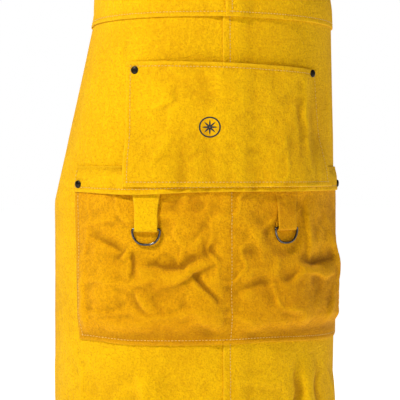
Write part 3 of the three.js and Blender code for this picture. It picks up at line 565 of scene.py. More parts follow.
def lower_room(u: np.ndarray, z: np.ndarray) -> np.ndarray:
    """Slack of the two-part lower pocket: soft pouches with creases, 0 at its seams.

    Args:
        u: places round the body, in metres.
        z: heights, in metres.

    Returns:
        The slack at each point.
    """
    across = smooth(-198 * MM, -178 * MM, u) * (1 - smooth(186 * MM, 212 * MM, u))
    middle = smooth(2 * MM, 28 * MM, np.abs(u - CENTRE_SEAM))
    down = smooth(LOWER_BOTTOM + 7 * MM, LOWER_BOTTOM + 30 * MM, z)
    mouth = 1 - 0.8 * smooth(-818 * MM, -782 * MM, z)
    body = 6.0 * MM * middle * mouth
    small = value_noise(u, z, 26 * MM, 20) * 2.4 * MM + value_noise(u, z, 11 * MM, 21) * 0.5 * MM
    small = small + value_noise(u, z, 5 * MM, 22) * 0.18 * MM + rumple(u, z, 40 * MM, 61) * 1.9 * MM
    wrinkles = 1.8 * folds_height(LOWER_FOLDS, u, z) * ring_hush(u, z)
    hush = ring_hush(u, z)
    room = body + 2.2 * MM * hush + wrinkles * (0.35 + 0.65 * middle) + small * hush
    calm_ends = 1 - 0.75 * smooth(110 * MM, 190 * MM, np.abs(u)) * smooth(-790 * MM, -730 * MM, z)
    return np.maximum(room, 0.0) * across * down * calm_ends


def pocket_base(u: np.ndarray, z: np.ndarray) -> np.ndarray:
    """Inner face of anything sewn straight on to the skirt's front."""
    return drape(u, z) + PLY * (1 + lap_ridge(u))


def lower_lift(u: np.ndarray, z: np.ndarray) -> np.ndarray:
    """Inner face of the lower pocket."""
    return pocket_base(u, z) + lower_room(u, z)


def flap_rise(u: np.ndarray, z: np.ndarray, start: float = FLAP_TOP) -> np.ndarray:
    """How far a piece stands out, from start down, over the pocket's mouth and the tabs' tops.

    Args:
        u: places round the body, in metres.
        z: heights, in metres.
        start: height from which the rise eases in.

    Returns:
        The rise at each point.
    """
    down = 1 - smooth(LOWER_TOP, start, z)
    mouth = lower_room(u, np.minimum(z, LOWER_TOP - 2 * MM))
    return down * (PLY + tab_zone(u) * TAB_RISE + mouth)


def flap_lift(u: np.ndarray, z: np.ndarray) -> np.ndarray:
    """Inner face of the storm flap.

    Args:
        u: places round the body, in metres.
        z: heights, in metres.

    Returns:
        The lift at each point.
    """
    wave = value_noise(u, z * 0.0, 26 * MM, 31) * 0.5 * MM + 0.5 * MM
    low = 1 - smooth(FLAP_LOW, FLAP_LOW + 20 * MM, z)
    return pocket_base(u, z) + flap_rise(u, z) + wave * low


def belly_room(u: np.ndarray, z: np.ndarray) -> np.ndarray:
    """Slack of the belly pocket, 0 at its seams.

    Args:
        u: places round the body, in metres.
        z: heights, in metres.

    Returns:
        The slack at each point.
    """
    share = (u - BELLY_LEFT) / BELLY_WIDTH
    across = smooth(0.03, 0.2, share) * (1 - smooth(0.86, 0.98, share))
    up = smooth(BELLY_LOW + 30 * MM, BELLY_LOW + 72 * MM, z)
    body = 5.0 * MM * across * up
    small = value_noise(u, z, 28 * MM, 40) * 1.5 * MM + value_noise(u, z, 11 * MM, 41) * 0.3 * MM
    small = small + value_noise(u, z, 5 * MM, 42) * 0.14 * MM + rumple(u, z, 48 * MM, 66) * 1.0 * MM
    return np.maximum(body + (1.7 * folds_height(BELLY_FOLDS, u, z) + small) * across, 0.0)


def belly_lift(u: np.ndarray, z: np.ndarray) -> np.ndarray:
    """Inner face of the belly pocket, whose lower edge covers the flap's top.

    Args:
        u: places round the body, in metres.
        z: heights, in metres.

    Returns:
        The lift at each point.
    """
    over = PLY * (1 - smooth(FLAP_TOP + 2 * MM, FLAP_TOP + 44 * MM, z))
    wave = 0.5 * MM * (1 - smooth(BELLY_LOW + 4 * MM, BELLY_LOW + 30 * MM, z))
    return pocket_base(u, z) + belly_room(u, z) + over + flap_rise(u, z, BELLY_RAMP) + wave


def spaced(low: float, high: float, cell: float, seams: tuple[float, ...]) -> np.ndarray:
    """Grid lines from low to high: close at the cut edges and the seams, even between.

    Args:
        low: first line.
        high: last line.
        cell: the even spacing.
        seams: places of stitch rows between them.

    Returns:
        The lines in rising order.
    """
    lines = [low + EDGE_STEPS, high - EDGE_STEPS]
    lines += [place + SEAM_STEPS for place in seams]
    kept = np.sort(np.concatenate(lines))
    even = np.arange(low + 3 * MM, high - 2 * MM, cell)
    far = np.min(np.abs(even[:, None] - kept[None, :]), axis=1) > 0.45 * cell
    merged = np.sort(np.concatenate([kept, even[far]]))
    return merged[np.concatenate([[True], np.diff(merged) > 0.05 * MM])]


def new_object(
    name: str, verts: np.ndarray, faces: np.ndarray | list[list[int]], smooth_faces: bool = True
) -> bpy.types.Object:
    """Makes and links a mesh object from whole arrays, and reports it.

    Args:
        name: the object's name.
        verts: places, one row each.
        faces: corner numbers, one row for each face, as an array or as lists of any length.
        smooth_faces: whether the faces are shaded smooth.

    Returns:
        The new object, at the origin.
    """
    mesh = bpy.data.meshes.new(name)
    mesh.from_pydata(verts.tolist(), [], faces.tolist() if isinstance(faces, np.ndarray) else faces)
    mesh.polygons.foreach_set("use_smooth", np.full(len(mesh.polygons), smooth_faces))
    mesh.update()
    obj = bpy.data.objects.new(name, mesh)
    bpy.context.scene.collection.objects.link(obj)
    log.info("%s: %d points, %d faces", name, len(mesh.vertices), len(mesh.polygons))
    return obj


def add_value(obj: bpy.types.Object, name: str, values: np.ndarray) -> None:
    """Stores one number on each of the mesh's points."""
    layer = obj.data.attributes.new(name, "FLOAT", "POINT")
    layer.data.foreach_set("value", np.asarray(values, np.float32).ravel())


def grid_faces(rows: int, cols: int, start: int = 0) -> np.ndarray:
    """Corner numbers of the four-sided faces of a grid of points.

    Args:
        rows: how many rows of points.
        cols: points in a row.
        start: number of the first point.

    Returns:
        One row of four corners for each face.
    """
    base = start + np.arange(rows * cols).reshape(rows, cols)
    corners = [base[:-1, :-1], base[:-1, 1:], base[1:, 1:], base[1:, :-1]]
    return np.stack([c.ravel() for c in corners], 1)


def tube_faces(rings: int, sides: int, start: int = 0) -> tuple[np.ndarray, np.ndarray]:
    """Numbers a tube's points ring by ring, and joins each ring to the next.

    Args:
        rings: how many rings the tube has.
        sides: how many points each ring has.
        start: number of the tube's first point.

    Returns:
        The point numbers, one row a ring, and the corners of the faces.
    """
    cell = start + np.arange(rings * sides).reshape(rings, sides)
    beside = np.roll(cell, -1, axis=1)
    quads = np.stack([cell[:-1], beside[:-1], beside[1:], cell[1:]], -1)
    return cell, quads.reshape(-1, 4)


@dataclass
class LeatherPanel:
    """A flat-cut piece of split cowhide wrapped on the wearer's outline.

    It is one closed shell: an outer and an inner face a sheet's thickness
    apart that round off and meet along the cut edge.
    """

    name: str
    split: Split
    left: float
    right: float
    low: float
    high: float
    lift: Lift
    cell: float = 2.4 * MM
    seams_u: tuple[float, ...] = ()
    seams_z: tuple[float, ...] = ()
    reshape: Reshape | None = None
    held: Held = Held.HUNG
    rests_on: tuple[str, ...] = ()

    def pattern_grid(self) -> tuple[np.ndarray, np.ndarray]:
        """Gives the u and z of the grid's points before the edges are shaped."""
        us = spaced(self.left, self.right, self.cell, self.seams_u)
        return tuple(np.meshgrid(us, spaced(self.low, self.high, self.cell, self.seams_z)))

    def flat_grid(self) -> tuple[np.ndarray, np.ndarray, np.ndarray]:
        """Lays out the piece flat.

        Returns:
            The u and z of each point after its edges are shaped, and each
            point's distance from the nearest edge.
        """
        u, z = self.pattern_grid()
        away = np.minimum(
            np.minimum(u - self.left, self.right - u), np.minimum(z - self.low, self.high - z)
        )
        if self.reshape is not None:
            u, z = self.reshape(u, z)
        return u, z, away

    def seam_depth(self) -> np.ndarray:
        """How deep the stitching pulls in the leather at each point, from 0 to 1.

        Returns:
            The share at each point.
        """
        u, z = self.pattern_grid()
        pull = np.zeros_like(u)
        for place in self.seams_u:
            pull = np.maximum(pull, np.exp(-(((u - place) / SEAM_HALF) ** 2)))
        for place in self.seams_z:
            pull = np.maximum(pull, np.exp(-(((z - place) / SEAM_HALF) ** 2)))
        return pull

    def build(self) -> bpy.types.Object:
        """Makes the closed shell, with its cut edge and seam values, the share of painted shade and painted
        highlight over its folds, and its flat pattern as UVs.

        The half thickness follows a quarter circle over the last millimetre
        before the edge, so that the cut edge is round.

        Returns:
            The finished object.
        """
        u, z, away = self.flat_grid()
        rows, cols = u.shape
        pull = self.seam_depth()
        edge = SHEET / 2
        half = edge * np.sqrt(np.clip(1 - (1 - np.clip(away / edge, 0, 1)) ** 2, 0, 1))
        middle = self.lift(u, z) + edge - SINK
        outer = FORM.place(u, z, middle + half - PUCKER * pull)
        inner = FORM.place(u, z, middle - half)
        inside = np.zeros((rows, cols), bool)
        inside[1:-1, 1:-1] = True
        number = np.arange(rows * cols).reshape(rows, cols)
        second = number.copy()
        second[inside] = rows * cols + np.arange(inside.sum())
        verts = np.concatenate([outer.reshape(-1, 3), inner[inside]])
        front = grid_faces(rows, cols)
        back = second.ravel()[grid_faces(rows, cols)][:, ::-1]
        obj = new_object(self.name, verts, np.concatenate([front, back]))
        rim = np.exp(-((away / RIM_REACH) ** 2))
        add_value(obj, "rim", np.concatenate([rim.ravel(), rim[inside]]))
        add_value(obj, "seam", np.concatenate([pull.ravel(), pull[inside] * 0]))
        # the share of painted shade in the creases and painted highlight on the ridges, kept on the outer
        # face only
        painted_fold_shading = self.painted_fold_shading_share(u, z)
        add_value(obj, "painted_fold_shading", np.concatenate([painted_fold_shading.ravel(), painted_fold_shading[inside] * 0]))
        self.add_pattern(obj, u, z, inside)
        return obj

    def painted_fold_shading_share(self, u: np.ndarray, z: np.ndarray) -> np.ndarray:
        """How far each point lies below the surface round it, from -1 on ridges to 1 in creases: the share of
        painted highlight and painted shade.

        Args:
            u: places round the body, in metres.
            z: heights, in metres.

        Returns:
            The share at each point.
        """
        total = np.zeros_like(u)
        for reach, share in ((5 * MM, 2.0 * MM), (12 * MM, 4.5 * MM)):
            sides = ((1, 0), (-1, 0), (0, 1), (0, -1))
            round_it = [self.lift(u + a * reach, z + b * reach) for a, b in sides]
            total = total + (sum(round_it) / 4 - self.lift(u, z)) / share
        return np.clip(total, -1, 1)

    def add_pattern(self, obj: bpy.types.Object, u: np.ndarray, z: np.ndarray, inside: np.ndarray) -> None:
        """Gives the mesh UVs that are the flat pattern's own metres.

        Args:
            obj: the object.
            u: places round the body, in metres.
            z: heights, in metres.
            inside: which points have a second, inner one.
        """
        pattern = np.stack([np.concatenate([v.ravel(), v[inside]]) for v in (u, z)], 1)
        layer = obj.data.uv_layers.new(name="pattern")
        corners = np.zeros(len(obj.data.loops), np.int32)
        obj.data.loops.foreach_get("vertex_index", corners)
        layer.data.foreach_set("uv", pattern[corners].astype(np.float32).ravel())

    def dress(self, obj: bpy.types.Object, material: bpy.types.Material, node: str) -> None:
        """Gives the panel its leather and hides the CAD node that it stands for.

        Args:
            obj: the built panel.
            material: the leather.
            node: the CAD node that it stands for.
        """
        obj.data.materials.append(material)
        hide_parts(node)
        u, z, _ = self.flat_grid()


@dataclass
class StitchRow:
    """One row of lockstitches in thick thread, sunk a little into the leather."""

    name: str
    path: list[tuple[float, float]]
    lift: Lift
    pitch: float = 4.2 * MM
    stitch: float = 3.3 * MM
    thread: float = 0.42 * MM
    proud: float = 0.1 * MM
    sides: int = 6

    def build(self) -> bpy.types.Object:
        """Makes the row: a small bent bead of thread for each stitch.

        Each bead is a tube of a few rings round a short arc whose ends dive
        under the surface; the beads sit at even steps along the path.

        Returns:
            The finished object.
        """
        pts = np.array(self.path)
        gaps = np.hypot(*np.diff(pts, axis=0).T)
        arc = np.concatenate([[0], np.cumsum(gaps)])
        count = max(int(arc[-1] / self.pitch), 1)
        centres = (np.arange(count) + 0.5) * arc[-1] / count
        along = np.linspace(-0.5, 0.5, 7)
        where = centres[:, None] + along[None, :] * self.stitch
        jitter = np.random.default_rng(len(self.name)).uniform(-0.12, 0.12, (count, 1)) * MM
        u = np.interp(where, arc, pts[:, 0])
        z = np.interp(where, arc, pts[:, 1]) + jitter
        rise = 0.28 * MM * (1 - (2 * along) ** 2) - 0.42 * MM * (2 * np.abs(along)) ** 6
        lift = self.lift(u, z) + SHEET - SINK - PUCKER + rise[None, :] + self.proud
        line = FORM.place(u, z, lift)
        up = FORM.place(u, z, lift + MM) - line
        up = up / np.linalg.norm(up, axis=2, keepdims=True)
        way = np.gradient(line, axis=1)
        way = way / np.linalg.norm(way, axis=2, keepdims=True)
        side = np.cross(way, up)
        fat = self.thread * np.sqrt(np.clip(1 - (2 * along) ** 8, 0.05, 1))
        turn = np.linspace(0, 2 * np.pi, self.sides, endpoint=False)
        ring = side[:, :, None] * np.cos(turn)[None, None, :, None]
        ring = ring + up[:, :, None] * np.sin(turn)[None, None, :, None]
        tube = line[:, :, None] + ring * fat[None, :, None, None]
        rings = len(along)
        cell, quads = tube_faces(rings, self.sides)
        step = (np.arange(count) * rings * self.sides)[:, None, None]
        faces = (quads[None] + step).reshape(-1, 4).tolist()
        caps = [cell[0][::-1], cell[-1]]
        faces += [(c + s).tolist() for s in step[:, 0, 0] for c in caps]
        return outward(new_object(self.name, tube.reshape(-1, 3), faces))


def outward(obj: bpy.types.Object) -> bpy.types.Object:
    """Turns all of the mesh's faces to point outwards and gives the object back.

    Args:
        obj: the object.

    Returns:
        The same object.
    """
    bm = bmesh.new()
    bm.from_mesh(obj.data)
    bmesh.ops.recalc_face_normals(bm, faces=bm.faces)
    bm.to_mesh(obj.data)
    bm.free()
    return obj


def local_frame(u: float, z: float, lift: float) -> tuple[np.ndarray, np.ndarray, np.ndarray]:
    """Gives a place on the body with its outward and sideways directions.

    Args:
        u: places round the body, in metres.
        z: heights, in metres.
        lift: distance out from the body, in metres.

    Returns:
        The place, the outward and the sideways direction.
    """
    spot = FORM.place(np.array([u]), np.array([z]), np.array([lift]))[0]
    out = FORM.out(u, z)
    side = np.cross(np.array([0.0, 0.0, 1.0]), out)
    return spot, out, side / np.linalg.norm(side)


@dataclass
class ToolTab:
    """A strip of leather folded round a D ring's bar and sewn under the flap."""

    name: str
    node: str
    place: float
    top: float = -699 * MM
    top_half: float = 18.6 * MM
    low_half: float = 14.5 * MM
    radius: float = 2.95 * MM
    half_thick: float = 0.95 * MM

    def build(self) -> bpy.types.Object:
        """Makes the folded strip: a stadium-shaped path swept with a rounded section.

        Returns:
            The finished object.
        """
        spot, out, side = local_frame(self.place, BAR_Z, BAR_LIFT)
        radius = self.radius
        drop = self.top - BAR_Z
        down = np.linspace(drop, 0.4 * MM, 26)
        turn = np.linspace(-np.pi / 2, np.pi / 2, 13)
        front = down[::-1]
        outs = [-radius + 0 * down, radius * np.sin(turn), radius - TAB_LEAN * front / drop]
        ups = [down, -radius * np.cos(turn), front]
        path_out, path_up = np.concatenate(outs), np.concatenate(ups)
        tangent = np.stack([np.gradient(path_out), np.gradient(path_up)], 1)
        tangent = tangent / np.linalg.norm(tangent, axis=1)[:, None]
        normal = np.stack([tangent[:, 1], -tangent[:, 0]], 1)
        share = smooth(RING_REACH, drop, path_up)
        half = self.low_half + (self.top_half - self.low_half) * share
        across = np.array([-1, -0.97, -0.9, -0.75, -0.45, 0, 0.45, 0.75, 0.9, 0.97, 1.0])
        thick = self.half_thick * np.sqrt(np.clip(1 - np.abs(across) ** 14, 0, 1))
        ring_across = np.concatenate([across, across[-2:0:-1]])
        ring_thick = np.concatenate([thick, -thick[-2:0:-1]])
        base = path_out[:, None] + normal[:, :1] * ring_thick[None]
        rise = path_up[:, None] + normal[:, 1:] * ring_thick[None]
        wide = half[:, None] * ring_across[None]
        verts = spot + base[..., None] * out + wide[..., None] * side
        verts[..., 2] += rise
        rows, cols = base.shape
        cell, quads = tube_faces(rows, cols)
        ends = [cell[0][::-1].tolist(), cell[-1].tolist()]
        obj = new_object(self.name, verts.reshape(-1, 3), quads.tolist() + ends)
        from_edge = (1 - np.abs(np.tile(ring_across, (rows, 1)))) * half[:, None]
        add_value(obj, "rim", np.exp(-((from_edge / RIM_REACH) ** 2)))
        return outward(obj)


@dataclass
class DRing:
    """A bent wire D ring whose straight bar lies in the fold of its tab."""

    name: str
    node: str
    place: float
    wire: float = 1.5 * MM
    half: float = 17.4 * MM
    drop: float = 19.4 * MM
    smoothing: int = 5

    def build(self) -> bpy.types.Object:
        """Makes the ring: a round wire swept along a straight bar and a flattened arc.

        Returns:
            The finished object.
        """
        spot, out, side = local_frame(self.place, BAR_Z, BAR_LIFT)
        angle = np.linspace(0, np.pi, 65)
        x = self.half * np.sign(np.cos(angle)) * np.abs(np.cos(angle)) ** 0.8
        y = -self.drop * np.sin(angle) ** 0.9
        bar = np.linspace(-self.half, self.half, 40)[1:-1]
        x, y = np.concatenate([x, bar]), np.concatenate([y, 0 * bar])
        for _ in range(self.smoothing):
            x = (np.roll(x, 1) + 2 * x + np.roll(x, -1)) / 4
            y = (np.roll(y, 1) + 2 * y + np.roll(y, -1)) / 4
        tx, ty = np.roll(x, -1) - np.roll(x, 1), np.roll(y, -1) - np.roll(y, 1)
        size = np.hypot(tx, ty)
        nx, ny = ty / size, -tx / size
        turn = np.linspace(0, 2 * np.pi, 16, endpoint=False)
        wide = x[:, None] + self.wire * np.cos(turn)[None] * nx[:, None]
        rise = y[:, None] + self.wire * np.cos(turn)[None] * ny[:, None]
        proud = self.wire * np.sin(turn)[None] + 0 * wide
        verts = spot + proud[..., None] * out + wide[..., None] * side
        verts[..., 2] += rise
        rows, cols = wide.shape
        cell = np.arange(rows * cols).reshape(rows, cols)
        right, below = np.roll(cell, -1, axis=1), np.roll(cell, -1, axis=0)
        quads = np.stack([cell, right, np.roll(right, -1, axis=0), below], -1).reshape(-1, 4)
        return outward(new_object(self.name, verts.reshape(-1, 3), quads))


@dataclass
class Rivet:
    """The domed cap of a rivet, seen on the outside of the leather."""

    name: str
    node: str
    place: float
    height: float
    lift: float
    cap: float = 5.0 * MM
    dome: float = 2.3 * MM

    def build(self) -> bpy.types.Object:
        """Turns the cap's profile: a flat hidden base, a rolled rim, a dome with a small crown.

        Returns:
            The finished object.
        """
        spot, out, side = local_frame(self.place, self.height, self.lift)
        up = np.cross(out, side)
        share = np.linspace(0, 1, 16)
        radius = np.concatenate([[0, 0.55, 0.92], np.cos(share * np.pi / 2)[:-1], [0.0]]) * self.cap
        base = np.array([-0.5, -0.5, -0.35]) * MM
        rise = np.concatenate([base, self.dome * np.sin(share * np.pi / 2) ** 0.8])
        turn = np.linspace(0, 2 * np.pi, 40, endpoint=False)[None, :, None]
        ring = radius[1:-1, None, None] * (np.cos(turn) * side + np.sin(turn) * up)
        ring = ring + rise[1:-1, None, None] * out + spot
        verts = np.concatenate([[spot + rise[0] * out], ring.reshape(-1, 3), [spot + rise[-1] * out]])
        rows, cols = ring.shape[:2]
        cell, quads = tube_faces(rows, cols, start=1)
        faces = quads.tolist()
        faces += [[0, int(b), int(a)] for a, b in zip(cell[0], np.roll(cell[0], -1))]
        faces += [[len(verts) - 1, int(a), int(b)] for a, b in zip(cell[-1], np.roll(cell[-1], -1))]
        return outward(new_object(self.name, verts, faces))


def every(size: float) -> float:
    """Gives the texture scale whose pattern repeats about every size millimetres."""
    return 1 / (size * MM)


# The colour Mix node's sockets by number, since several of them share a name.
MIX_SHARE, MIX_FIRST, MIX_SECOND, MIX_RESULT = 0, 6, 7, 2


@dataclass(frozen=True)
class Tint:
    """One colour laid over those below it, from none where pattern is low to strength where high."""

    pattern: bpy.types.NodeSocket
    low: float
    high: float
    colour: str
    strength: float = 1.0


class NodeTree:
    """A material's node tree, with one call that adds a node, sets it and links it."""

    def __init__(self, name: str) -> None:
        """Starts a material with that name.

        Args:
            name: the finish's real material and process.
        """
        self.material = bpy.data.materials.new(name)
        self.material.use_nodes = True
        self.tree = self.material.node_tree
        self.shader = self.tree.nodes["Principled BSDF"]

    def add(
        self, kind: str, values: dict | None = None, links: dict | None = None, **settings: object
    ) -> bpy.types.Node:
        """Adds a node.

        Args:
            kind: Blender's node type.
            values: constants by input name or number.
            links: output sockets by input name or number.
            settings: the node's own properties.

        Returns:
            The new node.
        """
        node = self.tree.nodes.new(kind)
        for key, value in settings.items():
            setattr(node, key, value)
        for key, value in (values or {}).items():
            node.inputs[key].default_value = value
        for key, output in (links or {}).items():
            self.tree.links.new(output, node.inputs[key])
        return node

    def feed(self, values: dict[str, float], links: dict[str, bpy.types.NodeSocket]) -> None:
        """Sets and links the shader's own inputs.

        Args:
            values: constants by input name.
            links: output sockets by input name.
        """
        for key, value in values.items():
            self.shader.inputs[key].default_value = value
        for key, output in links.items():
            self.tree.links.new(output, self.shader.inputs[key])

    def layered(self, start: str, layers: tuple[Tint, ...]) -> bpy.types.NodeSocket:
        """Lays tints over a first colour, each where its own pattern is strong.

        Args:
            start: hex code of the colour underneath.
            layers: the tints, lowest first.

        Returns:
            The colour after the last tint.
        """
        under: bpy.types.NodeSocket | None = None
        for tint in layers:
            span = {"From Min": tint.low, "From Max": tint.high, "To Max": tint.strength}
            share = self.add("ShaderNodeMapRange", span, {"Value": tint.pattern}).outputs["Result"]
            values = {MIX_SECOND: srgb(tint.colour)}
            links = {MIX_SHARE: share}
            if under is None:
                values[MIX_FIRST] = srgb(start)
            else:
                links[MIX_FIRST] = under
            under = self.add("ShaderNodeMix", values, links, data_type="RGBA").outputs[MIX_RESULT]
        return under


@dataclass(frozen=True)
class SplitCowhide:
    """Chrome-tanned split cowhide, dyed through, with its short suede nap outside."""

    name: str
    base: str
    # lighter mottling, and also the painted highlight on the ridges
    pale: str
    deep: str
    rim: str
    # the colour of the painted shade in the creases
    crease: str

    def make(self) -> bpy.types.Material:
        """Builds the leather from three sizes of mottling, a pebbled nap and its edges, with painted shade in
        its creases and painted highlight on its ridges.

        Returns:
            The material.
        """
        net = NodeTree(self.name)
        where = {"Vector": net.add("ShaderNodeTexCoord").outputs["Object"]}
        broad, cloud, grain = (
            net.add("ShaderNodeTexNoise", {"Scale": every(size), "Detail": detail, "Roughness": rough}, where)
            for size, detail, rough in ((90, 2.0, 0.5), (6.7, 5.0, 0.7), (2.4, 4.0, 0.7))
        )
        pebble = net.add("ShaderNodeTexVoronoi", {"Scale": every(1.6), "Randomness": 1.0}, where)
        painted_fold_shading, seam, rim = (
            net.add("ShaderNodeAttribute", attribute_name=name).outputs["Fac"]
            for name in ("painted_fold_shading", "seam", "rim")
        )
        colour = net.layered(
            self.deep,
            (
                Tint(broad.outputs["Fac"], 0.1, 0.62, self.base),
                Tint(cloud.outputs["Fac"], 0.42, 0.85, self.pale),
                Tint(grain.outputs["Fac"], 0.56, 0.3, self.deep),
                # painted shade in the creases and painted highlight on the ridges, from how far each point
                # lies below the surface round it
                Tint(painted_fold_shading, 0.0, 1.5, self.crease),
                Tint(painted_fold_shading, 0.0, -2.5, self.pale),
                # darker along the stitch rows, as deep as the stitching pulls the leather in
                Tint(seam, 0.0, 1.0, self.deep, 0.55),
                Tint(rim, 0.0, 1.0, self.rim, 0.75),
            ),
        )
        bump: dict[str, bpy.types.NodeSocket] = {}
        for height, strength, depth in (
            (pebble.outputs["Distance"], 0.6, 0.8 * MM),
            (grain.outputs["Fac"], 0.8, 0.9 * MM),
            (cloud.outputs["Fac"], 0.9, 3.0 * MM),
        ):
            size = {"Strength": strength, "Distance": depth}
            bump = {"Normal": net.add("ShaderNodeBump", size, {"Height": height, **bump}).outputs["Normal"]}
        gloss = {"Roughness": 0.86, "Specular IOR Level": 0.06, "Sheen Weight": 0.03, "Sheen Roughness": 0.55}
        net.feed(gloss, {"Base Color": colour, **bump})
        return net.material


@dataclass(frozen=True)
class PlatedSteel:
    """Steel with a worn plated or blackened finish."""

    name: str
    base: str
    worn: str
    roughness: float
    metal: float = 1.0

    def make(self) -> bpy.types.Material:
        """Builds the metal with fine scuffs and cloudy wear.

        Returns:
            The material.
        """
        net = NodeTree(self.name)
        where = {"Vector": net.add("ShaderNodeTexCoord").outputs["Object"]}
        noise = {"Scale": every(2.4), "Detail": 5.0, "Roughness": 0.7}
        wear = net.add("ShaderNodeTexNoise", noise, where).outputs["Fac"]
        colour = net.layered(self.base, (Tint(wear, 0.5, 0.72, self.worn),))
        span = {"To Min": self.roughness - 0.08, "To Max": self.roughness + 0.14}
        rough = net.add("ShaderNodeMapRange", span, {"Value": wear}).outputs["Result"]
        bump = net.add("ShaderNodeBump", {"Strength": 0.15, "Distance": 0.2 * MM}, {"Height": wear})
        links = {"Base Color": colour, "Roughness": rough, "Normal": bump.outputs["Normal"]}
        net.feed({"Metallic": self.metal}, links)
        return net.material


@dataclass(frozen=True)
class SpunThread:
    """Bonded polyester thread, twisted, pale cream."""

    name: str
    base: str
    deep: str

    def make(self) -> bpy.types.Material:
        """Builds the thread with a fine twist of lighter and darker strands.

        Returns:
            The material.
        """
        net = NodeTree(self.name)
        where = {"Vector": net.add("ShaderNodeTexCoord").outputs["Object"]}
        twist = net.add("ShaderNodeTexNoise", {"Scale": every(0.55), "Detail": 2.0}, where).outputs["Fac"]
        colour = net.layered(self.deep, (Tint(twist, 0.4, 0.62, self.base),))
        bump = net.add("ShaderNodeBump", {"Strength": 0.4, "Distance": 0.2 * MM}, {"Height": twist})
        net.feed({"Roughness": 0.6}, {"Base Color": colour, "Normal": bump.outputs["Normal"]})
        return net.material


@dataclass(frozen=True)
class MouldedAcetal:
    """Black acetal plastic from a textured mould."""

    name: str
    base: str
    scuffed: str

    def make(self) -> bpy.types.Material:
        """Builds the plastic with a fine mould grain and greyer scuffs.

        Returns:
            The material.
        """
        net = NodeTree(self.name)
        where = {"Vector": net.add("ShaderNodeTexCoord").outputs["Object"]}
        grain = net.add("ShaderNodeTexNoise", {"Scale": every(0.45), "Detail": 2.0}, where).outputs["Fac"]
        noise = {"Scale": every(6.2), "Detail": 5.0, "Roughness": 0.7}
        scuffs = net.add("ShaderNodeTexNoise", noise, where).outputs["Fac"]
        colour = net.layered(self.base, (Tint(scuffs, 0.55, 0.78, self.scuffed),))
        bump = net.add("ShaderNodeBump", {"Strength": 0.25, "Distance": 0.1 * MM}, {"Height": grain})
        net.feed({"Roughness": 0.48}, {"Base Color": colour, "Normal": bump.outputs["Normal"]})
        return net.material


# Split cowhide: the rough inner side of the hide, so it is matt and mottled, with a
# short nap that catches the light in specks. The true nap is about a millimetre;
# it is drawn a little coarser so that it shows.
# The last colour of each is the painted shade in the creases; the pale one is mottling and also the painted
# highlight on the ridges.
YELLOW = SplitCowhide("split_cowhide_yellow_suede", "#EEB600", "#FAC700", "#D39400", "#EDB80C", "#9A6000")
ORANGE = SplitCowhide("split_cowhide_orange_suede", "#E3A000", "#EEAE00", "#C27B00", "#DDA010", "#7E4800")
# Bonded polyester: a pale thread with a slight gloss, rougher than bare filament.
THREAD = SpunThread("bonded_polyester_thread", "#F2D470", "#C79A2A")
# Blackened steel keeps small sharp highlights on a dark dome; plated wire is brighter
# and cloudy with scuffs.
RIVET_STEEL = PlatedSteel("blackened_rivet_steel", "#26221C", "#5A5145", 0.34)
RING_STEEL = PlatedSteel("nickel_plated_wire_steel", "#55524D", "#8D8982", 0.2)
# Printed ink and moulded acetal are both dark, even and half matt.
INK = MouldedAcetal("screen_printed_black_ink", "#15130E", "#3A3122")
ACETAL = MouldedAcetal("moulded_black_acetal", "#17181A", "#34363A")


def bib_shape(u: np.ndarray, z: np.ndarray) -> tuple[np.ndarray, np.ndarray]:
    """Curves the bib's outer edge in from the waist to the chest, like an armhole.

    Args:
        u: places round the body, in metres.
        z: heights, in metres.

    Returns:
        The shaped u and z.
    """
    up = np.clip((z - WAIST_Z - 36 * MM) / (BIB_TOP_Z - WAIST_Z - 36 * MM), 0, 1)
    half = BIB_TOP_HALF + (SKIRT_HALF - BIB_TOP_HALF) * (1 - up) ** 2
    inner = 14 * MM
    far = np.abs(u) > inner
    share = np.clip((np.abs(u) - inner) / (SKIRT_HALF - inner), 0, 1)
    return np.where(far, np.sign(u) * (inner + share * (half - inner)), u), z


def skirt_shape(u: np.ndarray, z: np.ndarray) -> tuple[np.ndarray, np.ndarray]:
    """Rounds the skirt's two lower outside corners.

    Args:
        u: places round the body, in metres.
        z: heights, in metres.

    Returns:
        The shaped u and z.
    """
    corner = 60 * MM
    over = np.clip(np.abs(u) - (SKIRT_HALF - corner), 0, corner)
    rise = corner - np.sqrt(corner**2 - over**2 * 0.98)
    share = np.clip((WAIST_Z - 300 * MM - z) / (WAIST_Z - 300 * MM - HEM_Z), 0, 1)
    return u, z + rise * share


def belly_shape(u: np.ndarray, z: np.ndarray) -> tuple[np.ndarray, np.ndarray]:
    """Cuts the belly pocket: its top falls to the right, its right edge flares at the bottom.

    Args:
        u: places round the body, in metres.
        z: heights, in metres.

    Returns:
        The shaped u and z.
    """
    share = np.clip((u - BELLY_LEFT) / BELLY_WIDTH, 0, 1)
    up = np.clip((z - BELLY_LOW) / (BELLY_TOP - BELLY_LOW), 0, 1)
    flare = 28 * MM * np.clip((u - 100 * MM) / (40 * MM), 0, 1) * (1 - up) ** 1.5
    return u + flare, z + up * (2.5 * MM - 7 * MM * share)


def flap_shape(u: np.ndarray, z: np.ndarray) -> tuple[np.ndarray, np.ndarray]:
    """Gives the flap's hand-cut lower edge its slight wave.

    Args:
        u: places round the body, in metres.
        z: heights, in metres.

    Returns:
        The shaped u and z.
    """
    low = 1 - np.clip((z - FLAP_LOW) / (FLAP_TOP - FLAP_LOW), 0, 1)
    dip = -3.6 * MM * np.exp(-(((u + 118 * MM) / (60 * MM)) ** 2))
    return u, z + low * dip


